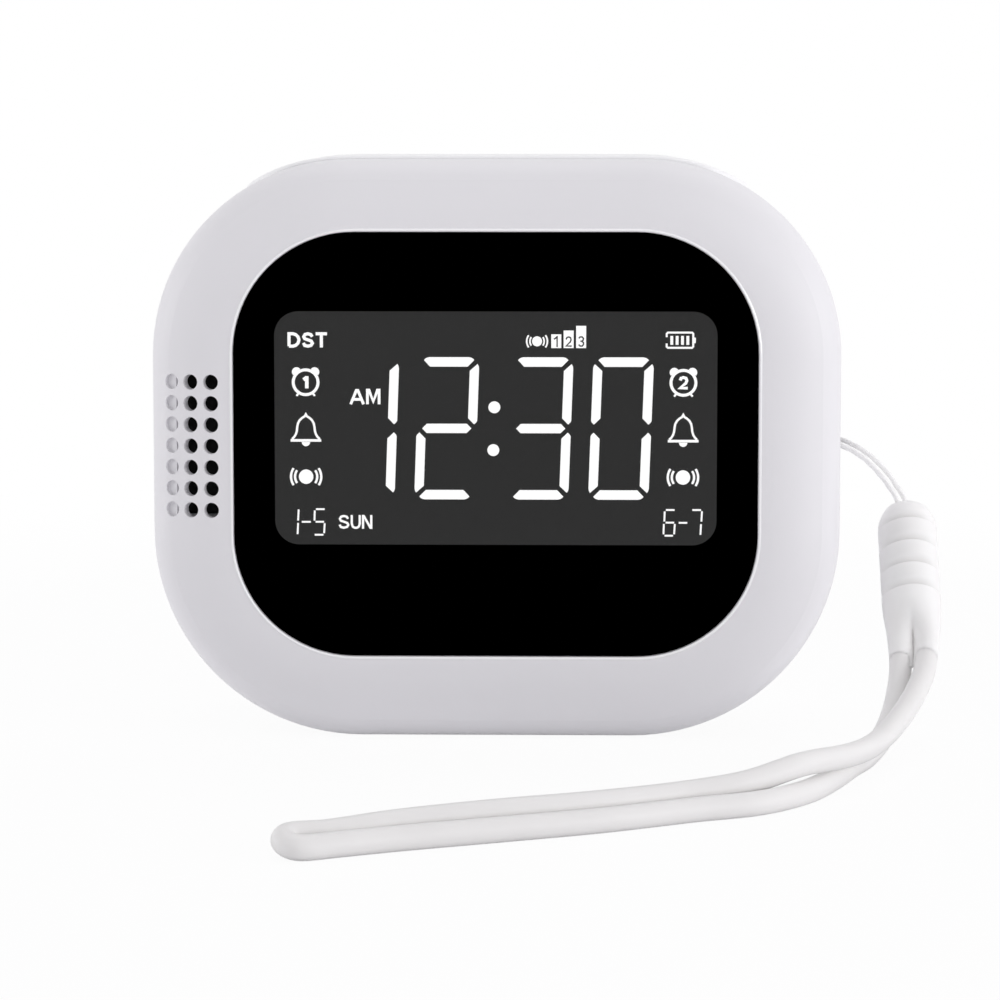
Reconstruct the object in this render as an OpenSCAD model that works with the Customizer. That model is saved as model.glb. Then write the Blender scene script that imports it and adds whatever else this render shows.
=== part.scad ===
// Vibrating alarm clock with a wrist strap.
// Millimetres, +Z up, the display faces -Y and +X is right as seen from the front.
// The origin is on the surface that the clock stands on, under the middle of the case.

/* [Case] */
// Width of the case
body_w = 86; // [80:0.5:110]
// Height of the case, without the snooze bar's rise
body_h = 72.3; // [68:0.1:95]
// Depth of the case, front to back
body_d = 34; // [32:0.5:48]
// Radius of the two upper corners, seen from the front
top_corner_r = 24.5; // [20:0.5:28]
// Radius of the two lower corners, seen from the front
bottom_corner_r = 26; // [20:0.5:28]
// Wall thickness of both shells
wall = 2; // [1.6:0.1:2.4]
// Tight radius where the side turns towards the front
edge_r = 5; // [4:0.25:7]
// Gentle radius of the front rim
face_r = 14.9; // [13:0.1:17]
// Turn of the tight radius, in degrees
edge_turn = 60; // [50:1:70]
// Radius of the back edge
back_r = 5; // [3:0.5:7]
// Depth of the rear shell, from the back to the parting line
rear_depth = 6; // [5.5:0.5:8]
// Height of the rear shell's locating lip
lip_h = 1.1; // [0.6:0.1:1.2]

/* [Front panel] */
// Distance from the side of the case to the black panel
panel_side = 10.6; // [10:0.1:11.5]
// Height of the black panel
panel_h = 52.5; // [50:0.5:56]
// Corner radius of the black panel
panel_corner_r = 15; // [10:0.5:18]
// Rise of the panel's centre above the middle of the case
panel_rise = 1; // [-1:0.1:1.5]
// Depth of the panel's face below the rim
panel_recess = 0.3; // [0.2:0.1:0.8]
// Thickness of the clear panel
lens_t = 1.5; // [1:0.1:2]
// Thickness of the black print behind it
mask_t = 0.1; // [0.1:0.05:0.3]
// Thickness of the adhesive frame
tape_t = 0.2; // [0.1:0.05:0.5]
// Thickness of the deck that the panel is stuck to
deck_t = 1.5; // [1.2:0.1:2]
// Width of the rim wall around the panel
rim_t = 1.6; // [1.2:0.1:2]
// Width of the black band at each side of the display window
window_side = 5; // [4.5:0.1:7]
// Height of the display window
window_h = 29; // [24:0.5:31]
// Corner radius of the display window
window_corner_r = 3; // [1:0.5:5]
// Rise of the window's centre above the panel's centre
window_rise = 2; // [0:0.1:2.5]

/* [Display] */
// Overlap of the liquid crystal glass behind the black print, at each side
lcd_overlap = 1.6; // [1.2:0.1:2]
// Height of the liquid crystal glass
lcd_h = 33; // [32:0.2:34]
// Thickness of the liquid crystal glass
lcd_t = 2.8; // [2:0.1:3]
// Thickness of the light guide behind it
guide_t = 2.4; // [1.6:0.1:2.6]
// Wall of the display holder
holder_wall = 1; // [0.8:0.1:1.4]
// Floor of the display holder
holder_floor = 0.6; // [0.5:0.1:1]
// Width of the shelf that the glass rests on
shelf_w = 1.2; // [0.8:0.1:1.5]

/* [Boards] */
// Thickness of both circuit boards
board_t = 1.6; // [1:0.1:2]
// Distance from the side of the case to the main board
board_side = 13; // [12.5:0.5:14]
// Height of the main board
board_h = 51; // [49:0.5:51]
// Corner radius of the main board
board_corner_r = 6; // [4:0.5:8]
// Distance from the side of the main board to its screws
board_screw_side = 10; // [8:0.5:12]
// Half distance between the main board's screws, up and down
board_screw_y = 22.4; // [22:0.1:23]
// Distance from the side of the case to the rear board
rear_board_side = 15; // [14:0.5:16]
// Height of the rear board
rear_board_h = 36; // [34:0.5:38]
// Rise of the rear board's centre above the middle of the case
rear_board_rise = 2; // [1:0.5:4]
// Gap between the rear board and the back wall
rear_gap = 4; // [3.8:0.1:5]
// Diameter of the small board screws
small_screw_d = 1.6; // [1.4:0.1:2]

/* [Snooze bar] */
// Distance from the side of the case to the snooze bar
bar_side = 11; // [11:0.5:16]
// Width of the snooze bar, front to back
bar_d = 18; // [14:0.5:18]
// Corner radius of the snooze bar, seen from above
bar_corner_r = 8; // [4:0.5:8.5]
// Rise of the snooze bar above the case
bar_rise = 0.5; // [0.3:0.1:1]
// Shift of the snooze bar towards the front
bar_shift = 0.6; // [0:0.1:0.6]
// Thickness of the snooze bar's skin
bar_skin = 2; // [1.5:0.1:2]
// Travel of the snooze bar
bar_travel = 0.6; // [0.3:0.1:0.8]

/* [Rear controls] */
// Diameter of the rear buttons
cap_d = 6; // [5:0.1:7]
// Travel of the rear buttons
cap_travel = 0.5; // [0.3:0.1:0.6]
// Distance between the rear buttons in a row
cap_pitch = 16; // [13:0.5:17]
// Depth of the rear control recess
recess_depth = 0.8; // [0.5:0.1:1]
// Half travel of the mode slide
slide_throw = 2; // [1:0.1:2.5]

/* [Speaker] */
// Width of the speaker
speaker_w = 9; // [8:0.1:9.2]
// Height of the speaker
speaker_h = 20; // [19:0.5:24]
// Thickness of the speaker
speaker_t = 4; // [3.6:0.1:4.5]
// Diameter of a grille hole
grille_d = 1.9; // [1.2:0.1:2.2]
// Distance between the rows of grille holes
grille_pitch = 2.65; // [2.4:0.05:2.8]
// Number of grille rows
grille_rows = 7; // [3:2:7]
// Turn between the columns of grille holes, in degrees
grille_step = 10.2; // [9:0.1:11]
// Turn from the front to the first column of grille holes, in degrees
grille_first = 8.4; // [7:0.1:10]
// Rise of the speaker and its grille above the middle of the case
grille_rise = 0.8; // [0:0.1:1]
// Thickness of the wall at the grille
grille_t = 1.3; // [1.1:0.1:1.6]

/* [Motor] */
// Diameter of the motor can
motor_d = 12; // [10:0.5:13]
// Length of the motor can
motor_l = 20; // [16:0.5:22]
// Diameter of the motor shaft
shaft_d = 1.5; // [1:0.1:2]
// Swing radius of the eccentric weight
weight_r = 5.5; // [4:0.1:6]
// Length of the eccentric weight
weight_l = 7; // [4:0.5:8]

/* [Battery] */
// Width of the battery
battery_w = 40; // [30:1:42]
// Height of the battery
battery_h = 30; // [24:1:32]
// Thickness of the battery
battery_t = 7; // [5:0.5:8]

/* [Strap] */
// Diameter of the strap's tube
strap_d = 2.8; // [2.4:0.1:2.8]
// Diameter of the strap's string
string_d = 0.7; // [0.6:0.05:0.8]
// Diameter of the strap's sleeve
sleeve_d = 7.4; // [7:0.1:9]
// Length of the strap's sleeve
sleeve_l = 19; // [17:0.5:22]
// Diameter of the strap pin
strap_pin_d = 1.6; // [1.2:0.1:1.8]

/* [Hidden] */
$fn = 72;
// Clearances: seated pieces, moving pieces and running shafts
seat = 0.1;
slip = 0.25;
running = 0.03;
cut = 1;
// Widths that follow the case
panel_w = body_w - 2 * panel_side;
window_w = panel_w - 2 * window_side;
lcd_w = window_w + 2 * lcd_overlap;
board_w = body_w - 2 * board_side;
board_screw_x = board_w / 2 - board_screw_side;
rear_board_w = body_w - 2 * rear_board_side;
bar_w = body_w - 2 * bar_side;
front = body_d / 2;
back = -body_d / 2;
parting = back + rear_depth;
// Depth levels, measured from the middle of the case towards the viewer
lens_v = front - panel_recess;
mask_v = lens_v - lens_t;
tape_v = mask_v - mask_t;
deck_v = tape_v - tape_t;
deck_back_v = deck_v - deck_t;
lcd_v = tape_v - seat;
lcd_back_v = lcd_v - lcd_t;
guide_back_v = lcd_back_v - guide_t;
sheet_t = 0.2;
sheet_back_v = guide_back_v - sheet_t;
board_v = sheet_back_v - holder_floor;
board_back_v = board_v - board_t;
rear_wall_v = back + wall;
rear_board_v = rear_wall_v + rear_gap;
rear_board_front_v = rear_board_v + board_t;
// Display places
window_y = panel_rise + window_rise;
holder_w = lcd_w + 2 * (holder_wall + seat);
holder_h = lcd_h + 2 * (holder_wall + seat);
holder_drop = 0.6;
holder_front_v = lcd_v - holder_drop;
guide_w = lcd_w - 2 * shelf_w;
zebra_h = 2;
zebra_side = 4;
zebra_w = lcd_w - 2 * zebra_side;
zebra_y = window_y - lcd_h / 2 + shelf_w + zebra_h / 2;
guide_low = zebra_y + zebra_h / 2 + shelf_w;
guide_top = window_y + lcd_h / 2 - shelf_w;
strip_h = 1.6;
strip_t = 0.3;
strip_side = 2;
led = [3, 1.2, 1];
tape_inset = 0.6;
// The arcs of the rim, as distances from the outer edge and depth levels
rim_reach = edge_r + (face_r - edge_r) * cos(edge_turn);
turn_v = front - face_r + (face_r - edge_r) * sin(edge_turn);
ring_reach = 12;
lip_t = 1;
lip_root = 1.5;
// Screw places on the case and the boards
boss_d = 6;
boss_bite = 0.2;
case_screw_d = 2.3;
case_head_d = 4.4;
case_head_h = 1.8;
case_screw_l = 12;
case_seat = 3.4;
boss_inset = 8;
boss_angle = [25, -20];
boss_reach = [top_corner_r - boss_inset, bottom_corner_r - boss_inset];
top_boss = [body_w / 2 - top_corner_r, body_h / 2 - top_corner_r]
  + boss_reach[0] * [cos(boss_angle[0]), sin(boss_angle[0])];
low_boss = [body_w / 2 - bottom_corner_r, -body_h / 2 + bottom_corner_r]
  + boss_reach[1] * [cos(boss_angle[1]), sin(boss_angle[1])];
case_bosses = [for (s = [-1, 1]) each [[s * top_boss.x, top_boss.y], [s * low_boss.x, low_boss.y]]];
small_boss_d = 5;
small_head_d = 3.6;
small_head_h = 1.4;
small_grip = 3.4;
board_screws = [for (sx = [-1, 1], sy = [-1, 1]) [sx * board_screw_x, panel_rise + sy * board_screw_y]];
rear_inset = 3;
rear_screws = [for (sx = [-1, 1], sy = [-1, 1])
  [sx * (rear_board_w / 2 - rear_inset), rear_board_rise + sy * (rear_board_h / 2 - rear_inset)]];
// Snooze bar places
bar_front = bar_shift + bar_d / 2;
snooze_body = [6, 4.6, 3.5];
snooze_v = board_back_v - snooze_body.z / 2;
snooze_inset = 1.2;
snooze_reach = 1.6;
snooze_top = panel_rise + board_h / 2 - snooze_inset;
snooze_tip = snooze_top + snooze_reach;
snooze_pin = [2.4, 2.8, 1.6];
inner_top = body_h / 2 - wall;
bar_wall = 1.2;
bar_stop = [30, 1.2, 2.2];
post_d = 3;
// Height at which the inner wall meets the ends of the snooze bar's opening
bar_end_x = bar_w / 2 + slip - (body_w / 2 - top_corner_r);
bar_end_y = body_h / 2 - top_corner_r + sqrt(pow(top_corner_r - wall, 2) - pow(max(bar_end_x, 0), 2));
// Rear control places
row_rise = 8;
row_pitch = 10;
slide_lift = 0.5;
upper_row = rear_board_rise + row_rise;
lower_row = upper_row - row_pitch;
slide_row = lower_row - row_pitch + slide_lift;
cap_places = [[cap_pitch, upper_row], [0, upper_row], [-cap_pitch, upper_row],
  [cap_pitch / 2, lower_row], [-cap_pitch / 2, lower_row]];
cap_flange = 0.7;
flange_t = 0.8;
flange_gap = 0.05;
flange_v = rear_wall_v + flange_gap;
cap_tip_v = back + recess_depth / 4;
tact_w = 6;
tact_h = 2.4;
tact_floor = 0.6;
plunger_d = 3.2;
recess_side = 2;
recess_w = rear_board_w - 2 * recess_side;
recess_h = rear_board_h - 2 * recess_side;
usb_side = 7;
usb_x = -recess_w / 2 + usb_side;
usb_w = 9;
usb_h = 3.2;
usb_wall = 0.3;
usb_l = 5.6;
usb_floor = 1;
usb_tip = [6.6, 0.7];
slide_body = [9, 4, 2.6];
knob_w = 3;
knob_h = 2;
slide_floor = 0.8;
// Speaker places
speaker_gap = 0.7;
speaker_x = -body_w / 2 + wall + speaker_gap + speaker_w / 2;
speaker_v = turn_v - speaker_gap;
gasket_t = 0.6;
gasket_w = 1;
duct_drop = 0.4;
basket_t = 0.8;
cone_t = 0.3;
cone_throw = 0.3;
coil_t = 0.4;
coil_gap = 0.4;
coil_w = speaker_w - 2.8;
coil_h = speaker_h - 6.4;
magnet_h = 1.6;
// Motor places: the axis runs along X above the floor of the case
cradle_base = 1.4;
motor_y = -body_h / 2 + wall + cradle_base + motor_d / 2;
motor_v = -1;
motor_x = -14;
clip_t = 0.8;
clip_rest = 0.6;
cradle_l = 12;
cradle_cheek = 1.3;
cradle_w = motor_d + 2 * (clip_t + cradle_cheek);
can_t = 0.8;
magnet_t = 1;
armature_gap = 0.4;
bush_l = 1.6;
bush_d = 4;
end_cap_l = 2;
cap_proud = 0.6;
terminal = [1.2, 0.6, 1.6];
terminal_y = 2.6;
terminal_reach = 2;
magnet_in = 4;
armature_in = 4.5;
shaft_in = 0.4;
weight_gap = 2;
weight_hub_d = 4;
weight_x = motor_x + motor_l + weight_gap;
// Battery place on the main board
battery_x = 3;
battery_y = 5;
pad_t = 0.5;
pad_inset = 2;
fold_w = 3;
fold_t = 2;
// Strap places: x is measured from the right side of the case
side_x = body_w / 2;
pocket_y = 5.5;
pocket_z = 36.3;
pocket_w = 6;
pocket_h = 7;
pocket_deep = 4.6;
pocket_t = 1.2;
strap_pin_deep = 1.6;
strap_pin_x = side_x - strap_pin_deep;
sleeve_base = [side_x + 9.2, -13.5, 11.8];
sleeve_lean = 23;
sleeve_tilt = 3;
groove_top = 3;
groove_pitch = 2.9;
groove_depth = 0.4;
groove_w = 0.5;
dome_ratio = 1.25;
// The loop leaves the sleeve, lies along the floor to its tip and comes back leaning on itself
loop_route = [[7.6, -12.8, 13.8], [7.5, -13.8, 11.3], [7.3, -16.1, 8.7], [6.6, -19.5, 6.25],
  [5.5, -23.7, 4.15], [3.95, -28.4, 2.5], [1.9, -34, 1.5], [-0.5, -40.6, 1.4], [-3.1, -48.6, 1.4],
  [-6.7, -57.2, 1.4], [-12.3, -64.2, 1.4], [-19.5, -68.3, 1.4], [-30.1, -74.9, 1.4], [-40.8, -80.2, 1.4],
  [-51.2, -85.2, 1.4], [-58, -88.9, 1.4], [-61.1, -90.6, 1.4], [-62.08, -90.79, 1.48],
  [-62.97, -90.38, 1.69], [-63.43, -89.53, 1.95], [-63.28, -88.56, 2.16], [-62.59, -87.85, 2.24],
  [-59.36, -86.44, 2.2], [-52.4, -82.82, 2.59], [-41.9, -77.92, 2.86], [-31.35, -72.67, 2.82],
  [-20.81, -66.11, 2.82], [-13.82, -62.43, 3.36], [-7.27, -56.87, 4.48], [-1.75, -49.09, 4.09],
  [1.33, -41.23, 3.63], [3.57, -34.81, 3.78], [5.6, -29.54, 4.66], [7.42, -25.03, 5.94],
  [8.97, -20.77, 7.44], [10.2, -17.05, 9.26], [10.7, -14.4, 11.3], [10.7, -13.3, 13.8]];
// The string leaves the sleeve, goes once round the strap pin and comes back beside itself
string_route = [[7.8, -6.4, 27.8], [7.6, -5.75, 29.3], [6.8, -4.4, 30.7], [5.7, -2.3, 32.2], [4, 0.4, 33.9],
  [2, 2.6, 35.1], [-0.2, 4, 35.8], [-1.6, 4.15, 35.9], [-2.55, 4.55, 36], [-2.95, 5.5, 36.1],
  [-2.55, 6.45, 36.2], [-1.6, 6.85, 36.3], [-0.1, 6.5, 36.3], [2.2, 4.6, 35.7], [4.4, 2, 34.5],
  [6.5, -1.4, 32.6], [7.75, -3.7, 30.8], [8.6, -5.2, 29.3], [8.7, -5.95, 27.8]];
function from_side(route) = [for (p = route) p + [side_x, 0, 0]];
// Wires inside the case: each leaves its piece, crosses the gap and ends in a connector on the main board
wire_d = 1;
wire_sides = 6;
cord_sides = 8;
wire_step = 1;
wire_gap = 0.1;
plug_x = -board_w / 2 + 5.6;
plug_size = [5.2, 4.4, 3];
motor_plug_y = -14.2;
speaker_plug_y = -7.5;
battery_plug_y = 14.6;
plug_back_y = plug_size.z + wire_gap - board_back_v;
function plug_end(y, side) = [plug_x + side * wire_step, plug_back_y, body_h / 2 + y];
plug_arrive = [0, 1.6, 0];
function lead(from, leave, to) =
  [from, from + leave, (from + leave + to + plug_arrive) / 2, to + plug_arrive, to];
speaker_tag = [speaker_x + 1.8, speaker_t + 2 * wire_gap - speaker_v, body_h / 2 - 6.5];
tag_step = 1.5;
motor_tag = [motor_x - terminal_reach - 2 * wire_gap, -motor_v, body_h / 2 + motor_y];
cell_tag = [battery_x - battery_w / 2 - 2 * wire_gap, pad_t + battery_t / 2 - board_back_v,
  body_h / 2 + battery_y + battery_h / 2 - 5.5];
cell_step = 2.5;
speaker_leads_points = [for (s = [-1, 1]) lead(speaker_tag - [0, 0, s * tag_step],
  [1, 1.6, 0], plug_end(speaker_plug_y, -s) - [0, 0, s * tag_step / 2])];
motor_leads_points = [for (s = [-1, 1]) lead(motor_tag + [0, 0, s * terminal_y],
  [-2.4, -0.5, 0], plug_end(motor_plug_y, s))];
battery_leads_points = [for (s = [-1, 1]) lead(cell_tag + [0, 0, s * cell_step],
  [-2.4, 0.6, 0], plug_end(battery_plug_y, s))];
ribbon_w = 10;
ribbon_t = 0.3;
ribbon_x = 2;
ribbon_y = rear_board_rise - rear_board_h / 2 + rear_inset;
socket_h = 2.4;
socket_d = 2.6;
// Controller and crystal on the main board
chip = [6, 7, 1.2];
chip_span = 7.6;
chip_lift = 0.2;
chip_y = 8.5;
crystal_d = 2;
crystal_y = -0.5;

// Frame of the front view: x right, y up from the middle of the case, z towards the viewer
module upright() {
  translate([0, 0, body_h / 2]) rotate([90, 0, 0]) children();
}

// A block in the front view, centred on x and y, from one depth level to another
module block(w, h, x, y, v0, v1) {
  translate([x - w / 2, y - h / 2, v0]) cube([w, h, v1 - v0]);
}

// A round bar in the front view between two depth levels
module bar(d, x, y, v0, v1) {
  translate([x, y, v0]) cylinder(d = d, h = v1 - v0);
}

module quarter(r) {
  intersection() {
    circle(r);
    square(r + cut);
  }
}

// Rectangle with round corners, of one radius above and another below
module rounded(w, h, rt, rb) {
  for (s = [0, 1]) mirror([s, 0]) {
    translate([w / 2 - rt, h / 2 - rt]) quarter(rt);
    translate([w / 2 - rb, -h / 2 + rb]) mirror([0, 1]) quarter(rb);
  }
  translate([-w / 2, -h / 2 + rb]) square([w, h - rt - rb]);
  translate([-w / 2 + rt, h / 2 - rt]) square([w - 2 * rt, rt]);
  translate([-w / 2 + rb, -h / 2]) square([w - 2 * rb, rb]);
}

// A plate of that outline in the front view
module plate(w, h, r, y, v0, v1) {
  translate([0, y, v0]) linear_extrude(v1 - v0) rounded(w, h, r, r);
}

// Outline of the case, moved out by grow
module case_outline(grow) {
  rounded(body_w + 2 * grow, body_h + 2 * grow, top_corner_r + grow, bottom_corner_r + grow);
}

module wedge(r, from, to) {
  intersection() {
    circle(r);
    polygon([[0, 0], 2 * r * [cos(from), sin(from)], 2 * r * [cos(to), sin(to)]]);
  }
}

// Section through the front rim: r is the outer edge, t the depth below the surface
module front_section(r, t, low) {
  turn_at = [r - edge_r, turn_v];
  face_at = [r - rim_reach, front - face_r];
  polygon([[r - ring_reach, low], [r - t, low], [r - t, turn_v], turn_at, face_at,
    [face_at.x, front - t], [r - ring_reach, front - t]]);
  translate(turn_at) wedge(edge_r - t, 0, edge_turn);
  translate(face_at) wedge(face_r - t, edge_turn, 90);
}

module front_wall(r) {
  difference() {
    front_section(r, 0, parting);
    front_section(r, wall, parting - cut);
  }
}

// Section through the back edge
module rear_section(r, t, high) {
  edge_at = [r - back_r, back + back_r];
  polygon([[r - ring_reach, high], [r - t, high], [r - t, edge_at.y], edge_at, [edge_at.x, back + t],
    [r - ring_reach, back + t]]);
  translate(edge_at) wedge(back_r - t, 270, 360);
}

module rear_wall(r) {
  inner = r - wall - seat - lip_t;
  difference() {
    rear_section(r, 0, parting);
    rear_section(r, wall, parting + cut);
  }
  translate([inner, parting - lip_root]) square([lip_t, lip_h + lip_root]);
  translate([inner, parting - lip_root]) square([lip_t + seat + cut / 2, lip_t]);
}

// Carries a section once round the case
module section_at(kind, r) {
  if (kind == "front") front_wall(r);
  else rear_wall(r);
}

module corner(kind, x, y, r, turn) {
  translate([x, y, 0]) rotate(turn) rotate_extrude(angle = 90) section_at(kind, r);
}

module run(kind, turn, out, from, to) {
  rotate(turn) translate([out, to, 0]) rotate([90, 0, 0]) linear_extrude(to - from) section_at(kind, 0);
}

module case_ring(kind) {
  w = body_w / 2;
  h = body_h / 2;
  t = top_corner_r;
  b = bottom_corner_r;
  corner(kind, w - t, h - t, t, 0);
  corner(kind, -w + t, h - t, t, 90);
  corner(kind, -w + b, -h + b, b, 180);
  corner(kind, w - b, -h + b, b, 270);
  run(kind, 0, w, -h + b, h - t);
  run(kind, 90, h, -w + t, w - t);
  run(kind, 180, w, -h + t, h - b);
  run(kind, 270, h, -w + b, w - b);
}

// Holes of the speaker grille, each square to the curved rim
module grille_holes() {
  low = grille_rise - (grille_rows - 1) / 2 * grille_pitch;
  for (row = [0:grille_rows - 1], column = [0:2])
    translate([-body_w / 2 + rim_reach, low + row * grille_pitch, front - face_r])
      rotate([0, -grille_first - column * grille_step, 0])
        translate([0, 0, face_r - wall - cut]) cylinder(d = grille_d, h = wall + 2 * cut);
}

// Hollow inside the speaker's duct that thins the wall at the grille
module grille_hollow() {
  w = speaker_w - 2 * gasket_w;
  h = speaker_h - 2 * gasket_w;
  intersection() {
    translate([-body_w / 2 + rim_reach, grille_rise + h, front - face_r]) rotate([90, 0, 0])
      cylinder(r = face_r - grille_t, h = 2 * h);
    block(w, h, speaker_x, grille_rise, speaker_v, front);
  }
}

// Opening or outline of the snooze bar, seen from above
module bar_plan(grow) {
  r = bar_corner_r + grow;
  translate([0, bar_shift]) rounded(bar_w + 2 * grow, bar_d + 2 * grow, r, r);
}

module bar_prism(grow, low, high) {
  translate([0, high, 0]) rotate([90, 0, 0]) linear_extrude(high - low) bar_plan(grow);
}

module front_housing() {
  rim_w = panel_w + 2 * rim_t;
  rim_h = panel_h + 2 * rim_t;
  color("whitesmoke") upright() difference() {
    union() {
      case_ring("front");
      plate(rim_w, rim_h, panel_corner_r + rim_t, panel_rise, deck_back_v, front - wall / 2);
      for (p = board_screws) bar(small_boss_d, p.x, p.y, board_v, deck_v - deck_t / 2);
      for (p = case_bosses) bar(boss_d, p.x, p.y, parting, front - wall + boss_bite);
      difference() {
        block(speaker_w, speaker_h, speaker_x, grille_rise, speaker_v + gasket_t, front - wall - duct_drop);
        block(speaker_w - 2 * gasket_w, speaker_h - 2 * gasket_w, speaker_x, grille_rise, speaker_v, front);
      }
      strap_pocket();
    }
    plate(panel_w + 2 * seat, panel_h + 2 * seat, panel_corner_r + seat, panel_rise, deck_v, front + cut);
    plate(holder_w + 2 * seat, holder_h + 2 * seat, holder_wall + seat, window_y,
      deck_back_v - cut, deck_v + cut);
    for (p = board_screws) bar(small_screw_d + seat, p.x, p.y, board_v - cut, deck_v - deck_t / 2);
    for (p = case_bosses) bar(case_screw_d + seat, p.x, p.y, parting - cut, parting + case_screw_l);
    grille_holes();
    grille_hollow();
    bar_prism(slip, bar_end_y - cut / 2, body_h / 2 + cut);
    strap_pocket_cut();
  }
}

// Cup in the right wall that the strap pin crosses
module strap_pocket() {
  y = pocket_z - body_h / 2;
  deep = pocket_deep + pocket_t;
  block(deep - wall / 2, pocket_h + 2 * pocket_t, body_w / 2 - (deep + wall / 2) / 2, y,
    -pocket_y - pocket_w / 2 - pocket_t, -pocket_y + pocket_w / 2 + pocket_t);
}

module strap_pocket_cut() {
  y = pocket_z - body_h / 2;
  block(pocket_deep + cut, pocket_h, body_w / 2 - (pocket_deep - cut) / 2, y,
    -pocket_y - pocket_w / 2, -pocket_y + pocket_w / 2);
  translate([strap_pin_x, y - pocket_h / 2 - pocket_t - cut, -pocket_y]) rotate([-90, 0, 0])
    cylinder(d = strap_pin_d + seat, h = pocket_h + 2 * (pocket_t + cut));
}

module strap_pin() {
  color("silver") translate([strap_pin_x, pocket_y, pocket_z - pocket_h / 2 - pocket_t])
    cylinder(d = strap_pin_d, h = pocket_h + 2 * pocket_t);
}

module rear_housing() {
  color("whitesmoke") upright() difference() {
    union() {
      case_ring("rear");
      translate([0, 0, back]) linear_extrude(wall) case_outline(-ring_reach);
      for (p = case_bosses) bar(boss_d, p.x, p.y, back + wall / 2, parting);
      for (p = rear_screws) bar(small_boss_d, p.x, p.y, back + wall / 2, rear_board_v);
    }
    plate(recess_w, recess_h, bar_corner_r, rear_board_rise, back - cut, back + recess_depth);
    for (p = cap_places) bar(cap_d + 2 * slip, p.x, p.y, back - cut, rear_wall_v + cut);
    block(knob_w + 2 * (slide_throw + slip), knob_h + 2 * slip, 0, slide_row, back - cut, rear_wall_v + cut);
    block(usb_w + 2 * slip, usb_h + 2 * slip, usb_x, slide_row, back - cut, rear_wall_v + cut);
    for (p = case_bosses) {
      bar(case_head_d + 2 * slip, p.x, p.y, back - cut, back + case_seat);
      bar(case_screw_d + 2 * seat, p.x, p.y, back, parting + cut);
    }
    for (p = rear_screws) bar(small_screw_d + seat, p.x, p.y, rear_wall_v, rear_board_v + cut);
  }
}

module front_lens() {
  color("dimgray") upright() plate(panel_w, panel_h, panel_corner_r, panel_rise, mask_v, lens_v);
}

module lens_mask() {
  color("black") upright() difference() {
    plate(panel_w, panel_h, panel_corner_r, panel_rise, tape_v, mask_v);
    plate(window_w, window_h, window_corner_r, window_y, tape_v - cut, mask_v + cut);
  }
}

module lens_tape() {
  w = panel_w - 2 * tape_inset;
  h = panel_h - 2 * tape_inset;
  color("dimgray") upright() difference() {
    plate(w, h, panel_corner_r - tape_inset, panel_rise, deck_v, tape_v);
    plate(holder_w + 4 * seat, holder_h + 4 * seat, holder_wall, window_y, deck_v - cut, tape_v + cut);
  }
}

module lcd_panel() {
  color("darkslategray") upright() block(lcd_w, lcd_h, 0, window_y, lcd_back_v, lcd_v);
}

// Tray that holds the glass, the light guide and the contact strip on the main board
module lcd_holder() {
  color("white") upright() difference() {
    plate(holder_w, holder_h, holder_wall, window_y, board_v, holder_front_v);
    block(lcd_w + 2 * seat, lcd_h + 2 * seat, 0, window_y, lcd_back_v, holder_front_v + cut);
    block(guide_w + 2 * seat, guide_top - guide_low + 2 * seat, 0, (guide_top + guide_low) / 2,
      sheet_back_v, lcd_back_v + cut);
    block(zebra_w + 2 * seat, zebra_h + 2 * seat, 0, zebra_y, board_v - cut, lcd_back_v + cut);
  }
}

module backlight_guide() {
  color("lightcyan") upright() block(guide_w, guide_top - guide_low - strip_h - seat, 0,
    (guide_top - strip_h - seat + guide_low) / 2, guide_back_v, lcd_back_v);
}

// Flexible strip with three light emitting diodes along the top of the guide
module backlight_strip() {
  y = guide_top - strip_h / 2;
  top = guide_back_v + strip_t;
  color("ivory") upright() {
    block(guide_w - 2 * strip_side, strip_h - seat, 0, y, guide_back_v, top);
    for (x = [-1, 0, 1] * guide_w / 4) block(led.x, led.y, x, y, top, top + led.z);
  }
}

module reflector_sheet() {
  y = (guide_top + guide_low) / 2;
  color("white") upright() block(guide_w, guide_top - guide_low, 0, y, sheet_back_v, guide_back_v);
}

module zebra_strip() {
  color("hotpink") upright() block(zebra_w, zebra_h, 0, zebra_y, board_v, lcd_back_v);
}

module main_board() {
  color("darkgreen") upright() difference() {
    plate(board_w, board_h, board_corner_r, panel_rise, board_back_v, board_v);
    for (p = board_screws) bar(small_screw_d + 2 * slip, p.x, p.y, board_back_v - cut, board_v + cut);
  }
}

// Pan head screw that points towards the viewer, or away from it
module screw(d, head_d, head_h, l, x, y, v, towards) {
  translate([x, y, v]) rotate([towards ? 0 : 180, 0, 0]) difference() {
    union() {
      cylinder(d = d, h = l);
      translate([0, 0, -head_h]) cylinder(d = head_d, h = head_h);
    }
    for (turn = [0, 90]) rotate(turn)
      translate([-head_d / 4, -d / 8, -head_h - cut]) cube([head_d / 2, d / 4, head_h / 2 + cut]);
  }
}

module main_board_screws() {
  l = board_t + small_grip;
  color("silver") upright() for (p = board_screws)
    screw(small_screw_d, small_head_d, small_head_h, l, p.x, p.y, board_back_v, true);
}

module rear_board_screws() {
  l = board_t + small_grip;
  color("silver") upright() for (p = rear_screws)
    screw(small_screw_d, small_head_d, small_head_h, l, p.x, p.y, rear_board_front_v, false);
}

module case_screws() {
  color("silver") upright() for (p = case_bosses)
    screw(case_screw_d, case_head_d, case_head_h, case_screw_l, p.x, p.y, back + case_seat, true);
}

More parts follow.
